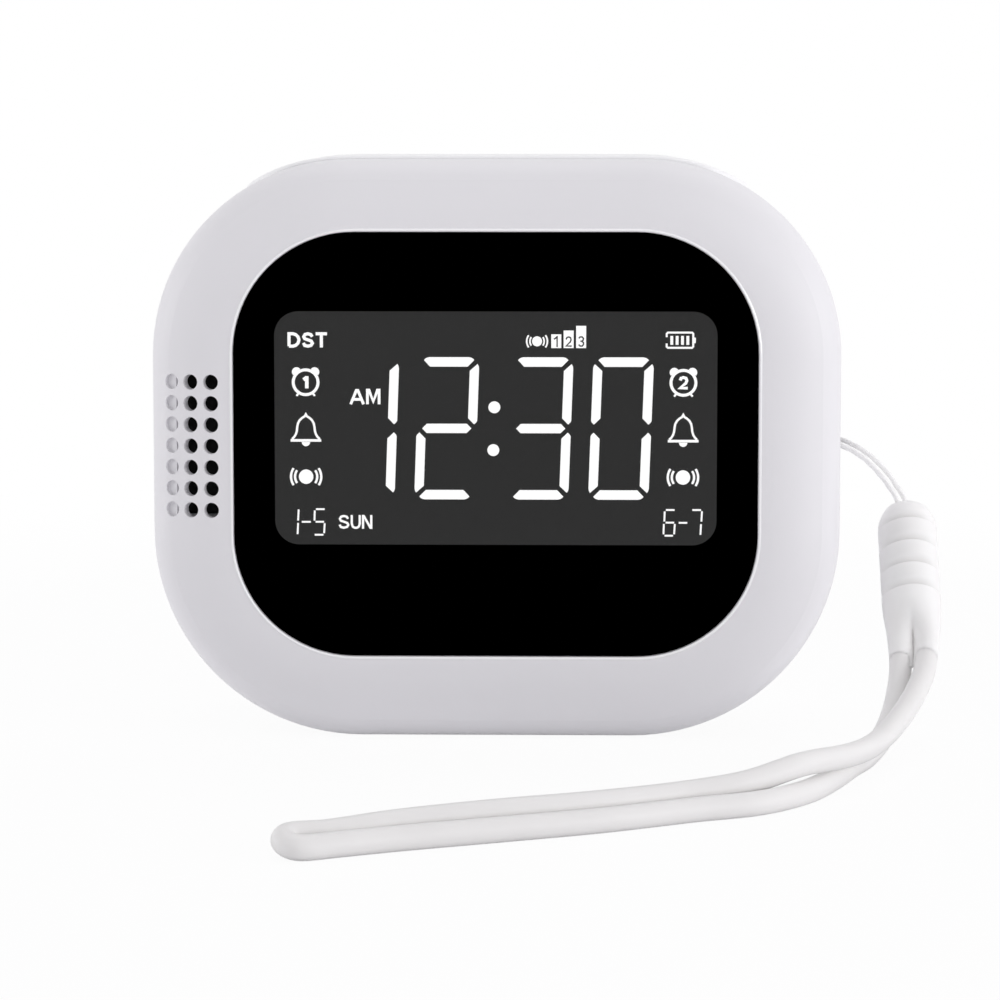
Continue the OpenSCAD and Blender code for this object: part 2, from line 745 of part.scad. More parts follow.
// Controller with its two rows of leads, and the timing crystal beside it
module controller_chip() {
  lead_v = board_back_v - chip_lift;
  color("black") upright() {
    block(chip.x, chip.y, plug_x, chip_y, lead_v - chip.z, lead_v);
    block(chip_span, chip.y - 1, plug_x, chip_y, lead_v, board_back_v);
    bar(crystal_d, plug_x, crystal_y, board_back_v - crystal_d, board_back_v);
  }
}

// Three wire connectors and the ribbon socket on the back of the main board
module board_connectors() {
  color("ivory") upright() {
    for (y = [motor_plug_y, speaker_plug_y, battery_plug_y])
      block(plug_size.x, plug_size.y, plug_x, y, board_back_v - plug_size.z, board_back_v);
    block(ribbon_w + 2, socket_d, ribbon_x, ribbon_y, board_back_v - socket_h, board_back_v);
  }
}

// Side push switch on the top edge of the main board
module snooze_switch() {
  half = snooze_body.z / 2;
  pin_half = snooze_pin.z / 2 + seat;
  color("dimgray") upright() difference() {
    block(snooze_body.x, snooze_body.y, 0, snooze_top - snooze_body.y / 2, snooze_v - half, snooze_v + half);
    block(snooze_pin.x + 2 * seat, 2 * (snooze_pin.y - snooze_reach + bar_travel + seat), 0, snooze_top,
      snooze_v - pin_half, snooze_v + pin_half);
  }
}

module snooze_plunger() {
  half = snooze_pin.z / 2;
  color("ivory") upright()
    block(snooze_pin.x, snooze_pin.y, 0, snooze_tip - snooze_pin.y / 2, snooze_v - half, snooze_v + half);
}

// Curved bar that follows the top of the case, with a skirt, two stops and the post for its switch
module snooze_button() {
  post_top = body_h / 2 + bar_rise - bar_skin / 2;
  stop_y = inner_top - flange_gap - bar_stop.y / 2;
  color("white") upright() {
    intersection() {
      translate([0, 0, back]) linear_extrude(body_d) difference() {
        case_outline(bar_rise);
        case_outline(bar_rise - bar_skin);
      }
      bar_prism(0, 0, body_h);
    }
    intersection() {
      translate([0, 0, back]) linear_extrude(body_d) difference() {
        case_outline(bar_rise - bar_skin);
        case_outline(-wall - bar_stop.y);
      }
      difference() {
        bar_prism(0, 0, body_h);
        bar_prism(-bar_wall, -cut, body_h + cut);
      }
    }
    for (v = [bar_front, bar_front - bar_d])
      block(bar_stop.x, bar_stop.y, 0, stop_y, v - bar_stop.z / 2, v + bar_stop.z / 2);
    translate([0, post_top, snooze_v]) rotate([90, 0, 0]) cylinder(d = post_d, h = post_top - snooze_tip);
  }
}

module rear_board() {
  color("darkgreen") upright() difference() {
    plate(rear_board_w, rear_board_h, rear_inset, rear_board_rise, rear_board_v, rear_board_front_v);
    for (p = rear_screws)
      bar(small_screw_d + 2 * slip, p.x, p.y, rear_board_v - cut, rear_board_front_v + cut);
  }
}

// Push switches on the back of the rear board, one under each button
module rear_switches() {
  color("dimgray") upright() for (p = cap_places) difference() {
    block(tact_w, tact_w, p.x, p.y, rear_board_v - tact_h, rear_board_v);
    bar(plunger_d + 2 * seat, p.x, p.y, rear_board_v - tact_h - cut, rear_board_v - tact_floor);
  }
}

// Button cap: the flange inside the back wall keeps it in
module button_cap(p) {
  color("white") upright() {
    bar(cap_d, p.x, p.y, cap_tip_v, flange_v);
    bar(cap_d + 2 * (slip + cap_flange), p.x, p.y, flange_v, flange_v + flange_t);
  }
}

module button_plunger(p) {
  color("ivory") upright()
    bar(plunger_d, p.x, p.y, flange_v + flange_t, rear_board_v - tact_floor - seat - cap_travel);
}

module alarm_one_button() {
  button_cap(cap_places[0]);
}

module alarm_one_plunger() {
  button_plunger(cap_places[0]);
}

module time_button() {
  button_cap(cap_places[1]);
}

module time_plunger() {
  button_plunger(cap_places[1]);
}

module alarm_two_button() {
  button_cap(cap_places[2]);
}

module alarm_two_plunger() {
  button_plunger(cap_places[2]);
}

module up_button() {
  button_cap(cap_places[3]);
}

module up_plunger() {
  button_plunger(cap_places[3]);
}

module down_button() {
  button_cap(cap_places[4]);
}

module down_plunger() {
  button_plunger(cap_places[4]);
}

// Slide switch for sound, shake or both
module mode_switch_body() {
  v = rear_board_v - slide_body.z;
  color("silver") upright() difference() {
    block(slide_body.x, slide_body.y, 0, slide_row, v, rear_board_v);
    block(knob_w + 2 * (slide_throw + slip), knob_h + 2 * seat, 0, slide_row,
      v - cut, rear_board_v - slide_floor);
  }
}

module mode_switch_knob() {
  color("black") upright()
    block(knob_w, knob_h, 0, slide_row, cap_tip_v, rear_board_v - slide_floor - 2 * seat);
}

// Charging socket: steel shell around a contact tongue
module usb_shell() {
  r = usb_h / 2 - seat;
  color("silver") upright() translate([usb_x, slide_row, rear_board_v - usb_l]) difference() {
    linear_extrude(usb_l) rounded(usb_w, usb_h, r, r);
    translate([0, 0, -cut]) linear_extrude(usb_l - usb_floor + cut)
      rounded(usb_w - 2 * usb_wall, usb_h - 2 * usb_wall, r - usb_wall, r - usb_wall);
  }
}

module usb_tongue() {
  color("black") upright()
    block(usb_tip.x, usb_tip.y, usb_x, slide_row, rear_board_v - usb_l + usb_floor, rear_board_v - usb_floor);
}

module speaker_gasket() {
  inner_w = speaker_w - 2 * gasket_w;
  inner_h = speaker_h - 2 * gasket_w;
  color("dimgray") upright() difference() {
    block(speaker_w, speaker_h, speaker_x, grille_rise, speaker_v, speaker_v + gasket_t);
    block(inner_w, inner_h, speaker_x, grille_rise, speaker_v - cut, speaker_v + gasket_t + cut);
  }
}

module speaker_frame() {
  color("black") upright() difference() {
    block(speaker_w, speaker_h, speaker_x, grille_rise, speaker_v - speaker_t, speaker_v);
    block(speaker_w - 2 * basket_t, speaker_h - 2 * basket_t, speaker_x, grille_rise,
      speaker_v - speaker_t + basket_t, speaker_v + cut);
  }
}

module speaker_magnet() {
  v = speaker_v - speaker_t + basket_t;
  color("silver") upright()
    block(coil_w - 2 * (coil_t + coil_gap), coil_h - 2 * (coil_t + coil_gap), speaker_x, grille_rise,
      v, v + magnet_h);
}

// Diaphragm with its voice coil round the magnet
module speaker_cone() {
  inset = basket_t + 2 * seat;
  top = speaker_v - cone_throw - seat;
  coil_low = speaker_v - speaker_t + basket_t + 2 * cone_throw + 2 * seat;
  color("dimgray") upright() {
    block(speaker_w - 2 * inset, speaker_h - 2 * inset, speaker_x, grille_rise, top - cone_t, top);
    difference() {
      block(coil_w, coil_h, speaker_x, grille_rise, coil_low, top - cone_t);
      block(coil_w - 2 * coil_t, coil_h - 2 * coil_t, speaker_x, grille_rise, coil_low - cut, top - cone_t);
    }
  }
}

module battery_pad() {
  color("gainsboro") upright() block(battery_w - 2 * pad_inset, battery_h - 2 * pad_inset,
    battery_x, battery_y, board_back_v - pad_t, board_back_v);
}

// Pouch cell with its folded top edge
module battery_cell() {
  v = board_back_v - pad_t;
  mid = v - battery_t / 2;
  color("silver") upright() {
    block(battery_w - fold_w, battery_h, battery_x + fold_w / 2, battery_y, v - battery_t, v);
    block(fold_w, battery_h - fold_w, battery_x - battery_w / 2 + fold_w / 2, battery_y,
      mid - fold_t / 2, mid + fold_t / 2);
  }
}

// Frame of the motor: z along its axis, y up
module motor_frame(x) {
  upright() translate([x, motor_y, motor_v]) rotate([0, 90, 0]) children();
}

// Saddle that stands on the floor of the case
module motor_cradle() {
  x = motor_x + motor_l / 2;
  low = -body_h / 2 + wall;
  slot = clip_t + 2 * seat;
  slot_w = cradle_l / 2 + 2 * seat;
  clip_at = motor_d / 2 + seat + clip_t / 2;
  color("lightgray") upright() difference() {
    block(cradle_l, motor_y - low, x, (motor_y + low) / 2, motor_v - cradle_w / 2, motor_v + cradle_w / 2);
    translate([x - cradle_l, motor_y, motor_v]) rotate([0, 90, 0])
      cylinder(d = motor_d + seat, h = 2 * cradle_l);
    for (v = [motor_v - clip_at, motor_v + clip_at])
      block(slot_w, motor_d, x, motor_y, v - slot / 2, v + slot / 2);
  }
}

// Spring clip over the can, with a leg in each slot of the cradle
module motor_clip() {
  inner = motor_d + 2 * seat;
  leg = motor_d / 2 - clip_rest;
  color("silver") motor_frame(motor_x + motor_l / 2 - cradle_l / 4) {
    rotate_extrude(angle = 180) translate([inner / 2, 0]) square([clip_t, cradle_l / 2]);
    for (s = [0, 1]) mirror([s, 0, 0]) translate([inner / 2, -leg, 0]) cube([clip_t, leg, cradle_l / 2]);
  }
}

// Drawn steel can, open at the end cap
module motor_can() {
  color("silver") motor_frame(motor_x) difference() {
    cylinder(d = motor_d, h = motor_l);
    translate([0, 0, -cut]) cylinder(d = motor_d - 2 * can_t, h = motor_l - can_t + cut);
    cylinder(d = bush_d, h = motor_l + cut);
  }
}

module motor_magnet() {
  r = motor_d / 2 - can_t;
  l = motor_l - 2 * magnet_in;
  color("dimgray") motor_frame(motor_x + magnet_in) difference() {
    cylinder(r = r, h = l);
    translate([0, 0, -cut]) cylinder(r = r - magnet_t, h = l + 2 * cut);
  }
}

module motor_bushing() {
  color("goldenrod") motor_frame(motor_x + motor_l - bush_l) difference() {
    cylinder(d = bush_d, h = bush_l);
    translate([0, 0, -cut]) cylinder(d = shaft_d + 2 * running, h = bush_l + 2 * cut);
  }
}

// Plastic end cap with the rear bearing and two terminals
module motor_end_cap() {
  color("white") motor_frame(motor_x) {
    difference() {
      translate([0, 0, -cap_proud]) cylinder(d = motor_d - 2 * can_t - seat, h = end_cap_l + cap_proud);
      cylinder(d = shaft_d + 2 * running, h = end_cap_l + cut);
    }
    for (s = [-1, 1])
      translate([-terminal.x / 2, s * terminal_y - terminal.y / 2, -terminal_reach]) cube(terminal);
  }
}

module motor_armature() {
  r = motor_d / 2 - can_t - magnet_t - armature_gap;
  l = motor_l - 2 * armature_in;
  color("peru") motor_frame(motor_x + armature_in) difference() {
    cylinder(r = r, h = l);
    translate([0, 0, -cut]) cylinder(d = shaft_d + running, h = l + 2 * cut);
  }
}

module motor_shaft() {
  color("silver") motor_frame(motor_x + shaft_in) cylinder(d = shaft_d, h = weight_x + weight_l - motor_x);
}

// Half round weight that shakes the case as it turns
module eccentric_weight() {
  color("dimgray") motor_frame(weight_x) difference() {
    union() {
      cylinder(d = weight_hub_d, h = weight_l);
      rotate(180) rotate_extrude(angle = 180) square([weight_r, weight_l]);
    }
    translate([0, 0, -cut]) cylinder(d = shaft_d + running, h = weight_l + 2 * cut);
  }
}

// Tube swept along a list of points: each ring stands square to the path and keeps its turn from the last
function unit(v) = v / norm(v);
function heading(p, i) = unit(p[min(i + 1, len(p) - 1)] - p[max(i - 1, 0)]);
function square_to(v, t) = unit(v - (v * t) * t);
function sides_of(p) = [for (i = 0, n = square_to([0.3, 0.5, 1], heading(p, 0)); i < len(p);
  i = i + 1, n = i < len(p) ? square_to(n, heading(p, i)) : n) n];
function ring_points(p, r, sides) = let (across = sides_of(p))
  [for (i = [0:len(p) - 1], k = [0:sides - 1]) let (t = heading(p, i), a = 360 * k / sides)
    p[i] + r * (cos(a) * across[i] + sin(a) * cross(t, across[i]))];

module tube(p, d, sides) {
  last = (len(p) - 1) * sides;
  walls = [for (i = [0:len(p) - 2], k = [0:sides - 1]) let (a = i * sides, n = (k + 1) % sides)
    each [[a + k, a + sides + k, a + n], [a + n, a + sides + k, a + sides + n]]];
  ends = [for (k = [1:sides - 2]) each [[0, k, k + 1], [last, last + k + 1, last + k]]];
  polyhedron(ring_points(p, d / 2, sides), concat(walls, ends));
}

// Flat cable between the two boards
module ribbon_cable() {
  color("ivory") upright()
    block(ribbon_w, ribbon_t, ribbon_x, ribbon_y, rear_board_front_v, board_back_v - socket_h);
}

module leads(routes) {
  color("firebrick") for (p = routes) tube(p, wire_d, wire_sides);
}

module speaker_leads() {
  leads(speaker_leads_points);
}

module motor_leads() {
  leads(motor_leads_points);
}

module battery_leads() {
  leads(battery_leads_points);
}

module strap_string() {
  color("white") tube(from_side(string_route), string_d, cord_sides);
}

// Moulded sleeve with a domed top and four grooves, which grips the ends of the string and of the loop
module strap_sleeve() {
  r = sleeve_d / 2;
  dome_r = r * dome_ratio;
  dome_low = sleeve_l - r / 2;
  color("white") translate(sleeve_base) rotate([-sleeve_lean, -sleeve_tilt, 0]) difference() {
    union() {
      cylinder(r = r, h = dome_low);
      translate([0, 0, dome_low]) intersection() {
        translate([0, 0, r / 2 - dome_r]) sphere(dome_r);
        cylinder(r = r, h = r);
      }
    }
    for (i = [0:3]) translate([0, 0, sleeve_l - groove_top - i * groove_pitch]) difference() {
      cylinder(d = sleeve_d + cut, h = groove_w);
      cylinder(d = sleeve_d - 2 * groove_depth, h = groove_w);
    }
  }
}

module strap_loop() {
  color("white") tube(from_side(loop_route), strap_d, cord_sides);
}

front_housing();
rear_housing();
front_lens();
lens_mask();
lens_tape();
lcd_panel();
lcd_holder();
backlight_guide();
backlight_strip();
reflector_sheet();
zebra_strip();
main_board();
main_board_screws();
controller_chip();
board_connectors();
snooze_switch();
snooze_plunger();
snooze_button();
rear_board();
rear_board_screws();
rear_switches();
alarm_one_button();
alarm_one_plunger();
time_button();
time_plunger();
alarm_two_button();
alarm_two_plunger();
up_button();
up_plunger();
down_button();
down_plunger();
mode_switch_body();
mode_switch_knob();
usb_shell();
usb_tongue();
speaker_gasket();
speaker_frame();
speaker_magnet();
speaker_cone();
battery_pad();
battery_cell();
motor_cradle();
motor_clip();
motor_can();
motor_magnet();
motor_bushing();
motor_end_cap();
motor_armature();
motor_shaft();
eccentric_weight();
case_screws();
ribbon_cable();
speaker_leads();
motor_leads();
battery_leads();
strap_pin();
strap_string();
strap_sleeve();
strap_loop();
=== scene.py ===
import math

import bpy
from mathutils import Matrix, Vector


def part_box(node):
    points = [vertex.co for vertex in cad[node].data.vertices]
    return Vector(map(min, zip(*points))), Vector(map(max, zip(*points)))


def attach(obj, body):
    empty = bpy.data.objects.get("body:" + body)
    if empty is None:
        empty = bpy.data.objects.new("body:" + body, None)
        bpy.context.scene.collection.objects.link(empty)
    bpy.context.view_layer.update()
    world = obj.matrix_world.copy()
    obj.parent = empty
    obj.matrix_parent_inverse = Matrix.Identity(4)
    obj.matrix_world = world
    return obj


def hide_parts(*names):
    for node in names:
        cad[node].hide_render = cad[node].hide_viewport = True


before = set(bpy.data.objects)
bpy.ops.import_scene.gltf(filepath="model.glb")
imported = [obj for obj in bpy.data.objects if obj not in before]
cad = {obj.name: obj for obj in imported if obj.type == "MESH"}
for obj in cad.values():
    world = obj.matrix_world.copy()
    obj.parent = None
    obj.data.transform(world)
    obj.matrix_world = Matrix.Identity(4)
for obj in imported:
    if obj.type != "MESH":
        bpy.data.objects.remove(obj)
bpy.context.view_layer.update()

# Studio: a white table and sweep, a camera a little above the clock, and soft lamps above and at both sides.
# A black flag lies on the table in front of the clock. Only reflections see it, so the panel stays black.
scene = bpy.context.scene
scene.view_settings.view_transform = "Standard"
lens_mm = 131.7
sensor_mm = 36
look_down = 5.911
look_aside = 1.326
camera_data = bpy.data.cameras.new("camera")
camera_data.lens = lens_mm
camera_data.sensor_width = sensor_mm
camera_data.clip_start = 0.01
camera = bpy.data.objects.new("camera", camera_data)
camera.location = (0.011, -0.467, 0.077)
camera.rotation_euler = (math.radians(90 - look_down), 0, math.radians(look_aside))
scene.collection.objects.link(camera)
scene.camera = camera


def linear(colour):
    """Linear colour of an sRGB hex value."""
    shares = [int(colour[i:i + 2], 16) / 255 for i in (1, 3, 5)]
    return [s / 12.92 if s <= 0.04045 else ((s + 0.055) / 1.055) ** 2.4 for s in shares] + [1.0]


def add_node(tree, kind, settings=(), links=()):
    """Adds one node. A name of a socket sets or links that socket, and another name sets the node itself."""
    made = tree.nodes.new(kind)
    for name, value in dict(settings).items():
        if isinstance(name, int) or name in made.inputs:
            made.inputs[name].default_value = value
        else:
            setattr(made, name, value)
    for name, source in dict(links).items():
        tree.links.new(source, made.inputs[name])
    return made


def start_material(name):
    """A new material, its empty node tree, and the place on the object in metres, for its patterns."""
    material = bpy.data.materials.new(name)
    material.use_nodes = True
    tree = material.node_tree
    tree.nodes.clear()
    return material, tree, add_node(tree, "ShaderNodeTexCoord").outputs["Object"]


def seen_directly(tree):
    """1 where the eye sees the surface itself, in a reflection or through the clear panel."""
    ray = add_node(tree, "ShaderNodeLightPath").outputs
    first = add_node(tree, "ShaderNodeMath", {"operation": "MAXIMUM"},
                     {0: ray["Is Camera Ray"], 1: ray["Is Glossy Ray"]})
    return add_node(tree, "ShaderNodeMath", {"operation": "MAXIMUM"},
                    {0: first.outputs[0], 1: ray["Is Transmission Ray"]}).outputs[0]


def mesh_piece(name, points, faces, material, crease=40):
    """A smooth mesh whose edges stay sharp where the surface turns by more than the crease angle."""
    mesh = bpy.data.meshes.new(name)
    mesh.from_pydata(points, [], faces)
    mesh.polygons.foreach_set("use_smooth", [True] * len(mesh.polygons))
    mesh.set_sharp_from_angle(angle=math.radians(crease))
    mesh.materials.append(material)
    piece = bpy.data.objects.new(name, mesh)
    scene.collection.objects.link(piece)
    return piece


# Light from all round, at a plain level. Where it is seen itself, it is white.
room_light = 0.56
world = bpy.data.worlds.new("studio")
scene.world = world
world.use_nodes = True
sky = world.node_tree
sky.nodes.clear()
air = add_node(sky, "ShaderNodeBackground", {"Color": linear("#FDFCFF"), "Strength": room_light})
white_wall = add_node(sky, "ShaderNodeBackground", {"Color": linear("#FFFFFF"), "Strength": 1.0})
sky_mix = add_node(sky, "ShaderNodeMixShader", (),
                   {0: seen_directly(sky), 1: air.outputs[0], 2: white_wall.outputs[0]})
add_node(sky, "ShaderNodeOutputWorld", (), {"Surface": sky_mix.outputs[0]})

# White paper sweep: matt. To the eye it glows evenly, wholly so away from the clock, while near the clock a
# part of it still takes the shadow.
near_glow = 0.94
shadow_near = 0.12
shadow_far = 0.30
paper, tree, place = start_material("paper_sweep_matt")
glow = add_node(tree, "ShaderNodeEmission", {"Color": linear("#FFFFFF"), "Strength": 1.0})
matt = add_node(tree, "ShaderNodeBsdfDiffuse", {"Color": linear("#F8F8F9")})
away = add_node(tree, "ShaderNodeVectorMath", {"operation": "LENGTH"}, {0: place})
glow_share = add_node(tree, "ShaderNodeMapRange",
                      {"interpolation_type": "SMOOTHSTEP", "From Min": shadow_near, "From Max": shadow_far,
                       "To Min": near_glow, "To Max": 1.0}, {"Value": away.outputs["Value"]})
share = add_node(tree, "ShaderNodeMath", {"operation": "MULTIPLY"},
                 {0: seen_directly(tree), 1: glow_share.outputs[0]})
paper_mix = add_node(tree, "ShaderNodeMixShader", (),
                     {0: share.outputs[0], 1: matt.outputs[0], 2: glow.outputs[0]})
add_node(tree, "ShaderNodeOutputMaterial", (), {"Surface": paper_mix.outputs[0]})
reach = 4.0
floor = mesh_piece("floor", [(-reach, -reach, 0), (reach, -reach, 0), (reach, reach, 0), (-reach, reach, 0)],
                   [(0, 1, 2, 3)], paper)

# Black velvet flag: it throws no light back, so the panel has only black to reflect.
velvet = bpy.data.materials.new("black_velvet_flag")
velvet.use_nodes = True
velvet.node_tree.nodes["Principled BSDF"].inputs["Base Color"].default_value = linear("#000000")
velvet.node_tree.nodes["Principled BSDF"].inputs["Specular IOR Level"].default_value = 0.0
flag_near = -0.020
flag_far = -3.5
flag_half = 1.2
flag_z = 0.0002
flag_top = 0.30
flag = mesh_piece("flag", [(-flag_half, flag_far, flag_z), (flag_half, flag_far, flag_z),
                           (flag_half, flag_near, flag_z), (-flag_half, flag_near, flag_z),
                           (flag_half, flag_far, flag_top), (-flag_half, flag_far, flag_top)],
                  [(0, 1, 2, 3), (0, 5, 4, 1)], velvet)
flag.visible_camera = False
flag.visible_diffuse = False
flag.visible_shadow = False

# Soft boxes: place, width and height in metres and power in watts. All of them face the clock.
lamps = {"lamp_above": ((0.05, 0.35, 1.15), (1.0, 1.0), 2.6),
         "lamp_right": ((1.05, -0.50, 0.24), (0.9, 0.45), 6.0),
         "lamp_left": ((-1.15, -0.15, 0.24), (0.9, 0.45), 3.7)}
clock_middle = Vector((0, 0, 0.036))
for name, (place, (wide, high), watts) in lamps.items():
    lamp = bpy.data.lights.new(name, "AREA")
    lamp.shape = "RECTANGLE"
    lamp.size = wide
    lamp.size_y = high
    lamp.energy = watts
    lamp.color = linear("#FFFEFF")[:3]
    holder = bpy.data.objects.new(name, lamp)
    holder.location = place
    holder.rotation_euler = (clock_middle - Vector(place)).to_track_quat("-Z", "Y").to_euler()
    scene.collection.objects.link(holder)

# Wrist strap, string: a braided polyester cord, 0.7 mm thick. It goes from the sleeve once round the steel
# pin in the case and back. It is a tube of three twisted lobes, because the braid is too fine to show.
mm = 0.001
right_side = 43.0
string_d = 0.7
string_route = [
    (7.8, -6.4, 27.8), (7.6, -5.75, 29.3), (6.8, -4.4, 30.7), (5.7, -2.3, 32.2), (4, 0.4, 33.9),
    (2, 2.6, 35.1), (-0.2, 4, 35.8), (-1.6, 4.15, 35.9), (-2.55, 4.55, 36), (-2.95, 5.5, 36.1),
    (-2.55, 6.45, 36.2), (-1.6, 6.85, 36.3), (-0.1, 6.5, 36.3), (2.2, 4.6, 35.7), (4.4, 2, 34.5),
    (6.5, -1.4, 32.6), (7.75, -3.7, 30.8), (8.6, -5.2, 29.3), (8.7, -5.95, 27.8)]


def smooth_route(route, steps):
    """Points in metres on a smooth curve through the route, whose x starts at the case's right side."""
    knots = [Vector((x + right_side, y, z)) * mm for x, y, z in route]
    knots = [2 * knots[0] - knots[1]] + knots + [2 * knots[-1] - knots[-2]]
    curve = []
    for a, b, c, d in zip(knots, knots[1:], knots[2:], knots[3:]):
        before, here, after = (math.sqrt((q - p).length) for p, q in ((a, b), (b, c), (c, d)))
        leave = (b - a) / before * here - (c - a) / (before + here) * here + c - b
        arrive = c - b - (d - b) / (here + after) * here + (d - c) / after * here
        for t in (k / steps for k in range(steps)):
            back = 1 - t
            near_b = (1 + 2 * t) * b + t * leave
            near_c = (1 + 2 * back) * c - back * arrive
            curve.append(back * back * near_b + t * t * near_c)
    return curve + [knots[-2]]


def loft(rings):
    """Faces from ring to ring, with both ends closed."""
    n = len(rings[0])
    points = [p for ring in rings for p in ring]
    faces = [tuple(range(n))[::-1], tuple(range(len(points) - n, len(points)))]
    for start in range(0, len(points) - n, n):
        for k in range(n):
            a, b = start + k, start + (k + 1) % n
            faces.append((a, b, b + n, a + n))
    return points, faces


def sweep(curve, outline):
    """A tube along the curve. outline(run) gives the ring's points at that run of length."""
    rings = []
    side = Vector((0.3, 0.5, 1))
    run = 0
    for i, place in enumerate(curve):
        ahead = (curve[min(i + 1, len(curve) - 1)] - curve[max(i - 1, 0)]).normalized()
        side = (side - side.dot(ahead) * ahead).normalized()
        over = ahead.cross(side)
        run += (place - curve[i - 1]).length if i else 0
        rings.append([place + side * a + over * b for a, b in outline(run)])
    return loft(rings)


def around(count, radius):
    """Points of a ring, where radius(angle) is its radius."""
    turns = [2 * math.pi * k / count for k in range(count)]
    return [(radius(t) * math.cos(t), radius(t) * math.sin(t)) for t in turns]


def dress(material, *names):
    """Gives CAD nodes a material."""
    for name in names:
        cad[name].data.materials.clear()
        cad[name].data.materials.append(material)


# Braided polyester: off white with a soft sheen. The diagonal yarns show as a fine pattern of light and dark.
yarn_mm = 0.25
polyester, tree, place = start_material("polyester_braided_offwhite")
yarns = add_node(tree, "ShaderNodeTexVoronoi", {"Scale": 1 / (yarn_mm * mm)}, {"Vector": place})
shade = add_node(tree, "ShaderNodeMix", {"data_type": "RGBA", 6: linear("#FFFEFC"), 7: linear("#F4F3F0")},
                 {0: yarns.outputs["Distance"]})
ridge = add_node(tree, "ShaderNodeBump", {"Strength": 0.4, "Distance": 0.05 * mm},
                 {"Height": yarns.outputs["Distance"]})
skin = add_node(tree, "ShaderNodeBsdfPrincipled",
                {"Roughness": 0.7, "Sheen Weight": 0.3, "Sheen Roughness": 0.4, "IOR": 1.53,
                 "Subsurface Weight": 0.8, "Subsurface Radius": (1.0, 1.0, 1.0),
                 "Subsurface Scale": 0.6 * mm},
                {"Base Color": shade.outputs[2], "Normal": ridge.outputs[0]})
add_node(tree, "ShaderNodeOutputMaterial", (), {"Surface": skin.outputs[0]})

route_steps = 8
string_curve = smooth_route(string_route, route_steps)
twist_mm = 2.4
string_lobes = 3
lobe_middle = 0.93
lobe_swing = 0.07


def string_ring(run):
    """Outline of the string, whose lobes turn with the run of length."""
    lean = 2 * math.pi * run / (twist_mm * mm)
    wide = string_d / 2 * mm
    return around(18, lambda t: wide * (lobe_middle + lobe_swing * math.cos(string_lobes * t + lean)))


strap_string = mesh_piece("string_braided", *sweep(string_curve, string_ring), polyester)
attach(strap_string, "case")
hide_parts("strap_string")

# Wrist strap, loop: a solid silicone tube, 2.8 mm thick. Both of its ends sit in the sleeve. It hangs down
# to the table, lies along it to a tight turn at its tip, and comes back beside itself and then over itself.
loop_d = 2.8
loop_route = [
    (7.6, -12.8, 13.8), (7.5, -13.8, 11.3), (7.3, -16.1, 8.7), (6.6, -19.5, 6.25), (5.5, -23.7, 4.15),
    (3.95, -28.4, 2.5), (1.9, -34, 1.5), (-0.5, -40.6, 1.4), (-3.1, -48.6, 1.4), (-6.7, -57.2, 1.4),
    (-12.3, -64.2, 1.4), (-19.5, -68.3, 1.4), (-30.1, -74.9, 1.4), (-40.8, -80.2, 1.4), (-51.2, -85.2, 1.4),
    (-58, -88.9, 1.4), (-61.1, -90.6, 1.4), (-62.08, -90.79, 1.48), (-62.97, -90.38, 1.69),
    (-63.43, -89.53, 1.95), (-63.28, -88.56, 2.16), (-62.59, -87.85, 2.24), (-59.36, -86.44, 2.2),
    (-52.4, -82.82, 2.59), (-41.9, -77.92, 2.86), (-31.35, -72.67, 2.82), (-20.81, -66.11, 2.82),
    (-13.82, -62.43, 3.36), (-7.27, -56.87, 4.48), (-1.75, -49.09, 4.09), (1.33, -41.23, 3.63),
    (3.57, -34.81, 3.78), (5.6, -29.54, 4.66), (7.42, -25.03, 5.94), (8.97, -20.77, 7.44),
    (10.2, -17.05, 9.26), (10.7, -14.4, 11.3), (10.7, -13.3, 13.8)]


def silicone(name, pale, deep, light_run):
    """White silicone: matt and a little waxy, as light comes out again light_run mm from where it went in."""
    made, tree, place = start_material(name)
    bloom_mm = 6.0
    grit_mm = 0.15
    bloom = add_node(tree, "ShaderNodeTexNoise", {"Scale": 1 / (bloom_mm * mm), "Detail": 3.0},
                     {"Vector": place})
    tint = add_node(tree, "ShaderNodeMix", {"data_type": "RGBA", 6: linear(pale), 7: linear(deep)},
                    {0: bloom.outputs["Fac"]})
    grit = add_node(tree, "ShaderNodeTexNoise", {"Scale": 1 / (grit_mm * mm), "Detail": 2.0},
                    {"Vector": place})
    dull = add_node(tree, "ShaderNodeMapRange", {"To Min": 0.46, "To Max": 0.58},
                    {"Value": bloom.outputs["Fac"]})
    matt = add_node(tree, "ShaderNodeBump", {"Strength": 0.12, "Distance": 0.03 * mm},
                    {"Height": grit.outputs["Fac"]})
    skin = add_node(tree, "ShaderNodeBsdfPrincipled",
                    {"IOR": 1.41, "Subsurface Weight": 1.0, "Subsurface Radius": (1.0, 1.0, 1.0),
                     "Subsurface Scale": light_run * mm, "Sheen Weight": 0.15, "Sheen Roughness": 0.5},
                    {"Base Color": tint.outputs[2], "Roughness": dull.outputs[0], "Normal": matt.outputs[0]})
    add_node(tree, "ShaderNodeOutputMaterial", (), {"Surface": skin.outputs[0]})
    return made


# Extruded silicone: even, and painted a little greyer than the sleeve, as painted shade that offsets the lamp
# above, which lights the tube lying on the table more than the upright sleeve.
tube_silicone_painted_shade = silicone("silicone_extruded_painted_shade", "#ECEBEA", "#E8E7E6", 0.5)

loop_curve = smooth_route(loop_route, route_steps)
loop_ring = around(32, lambda t: loop_d / 2 * mm)
strap_loop = mesh_piece("loop_tube", *sweep(loop_curve, lambda run: loop_ring), tube_silicone_painted_shade)
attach(strap_loop, "case")
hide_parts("strap_loop")
strap_loop.visible_glossy = False

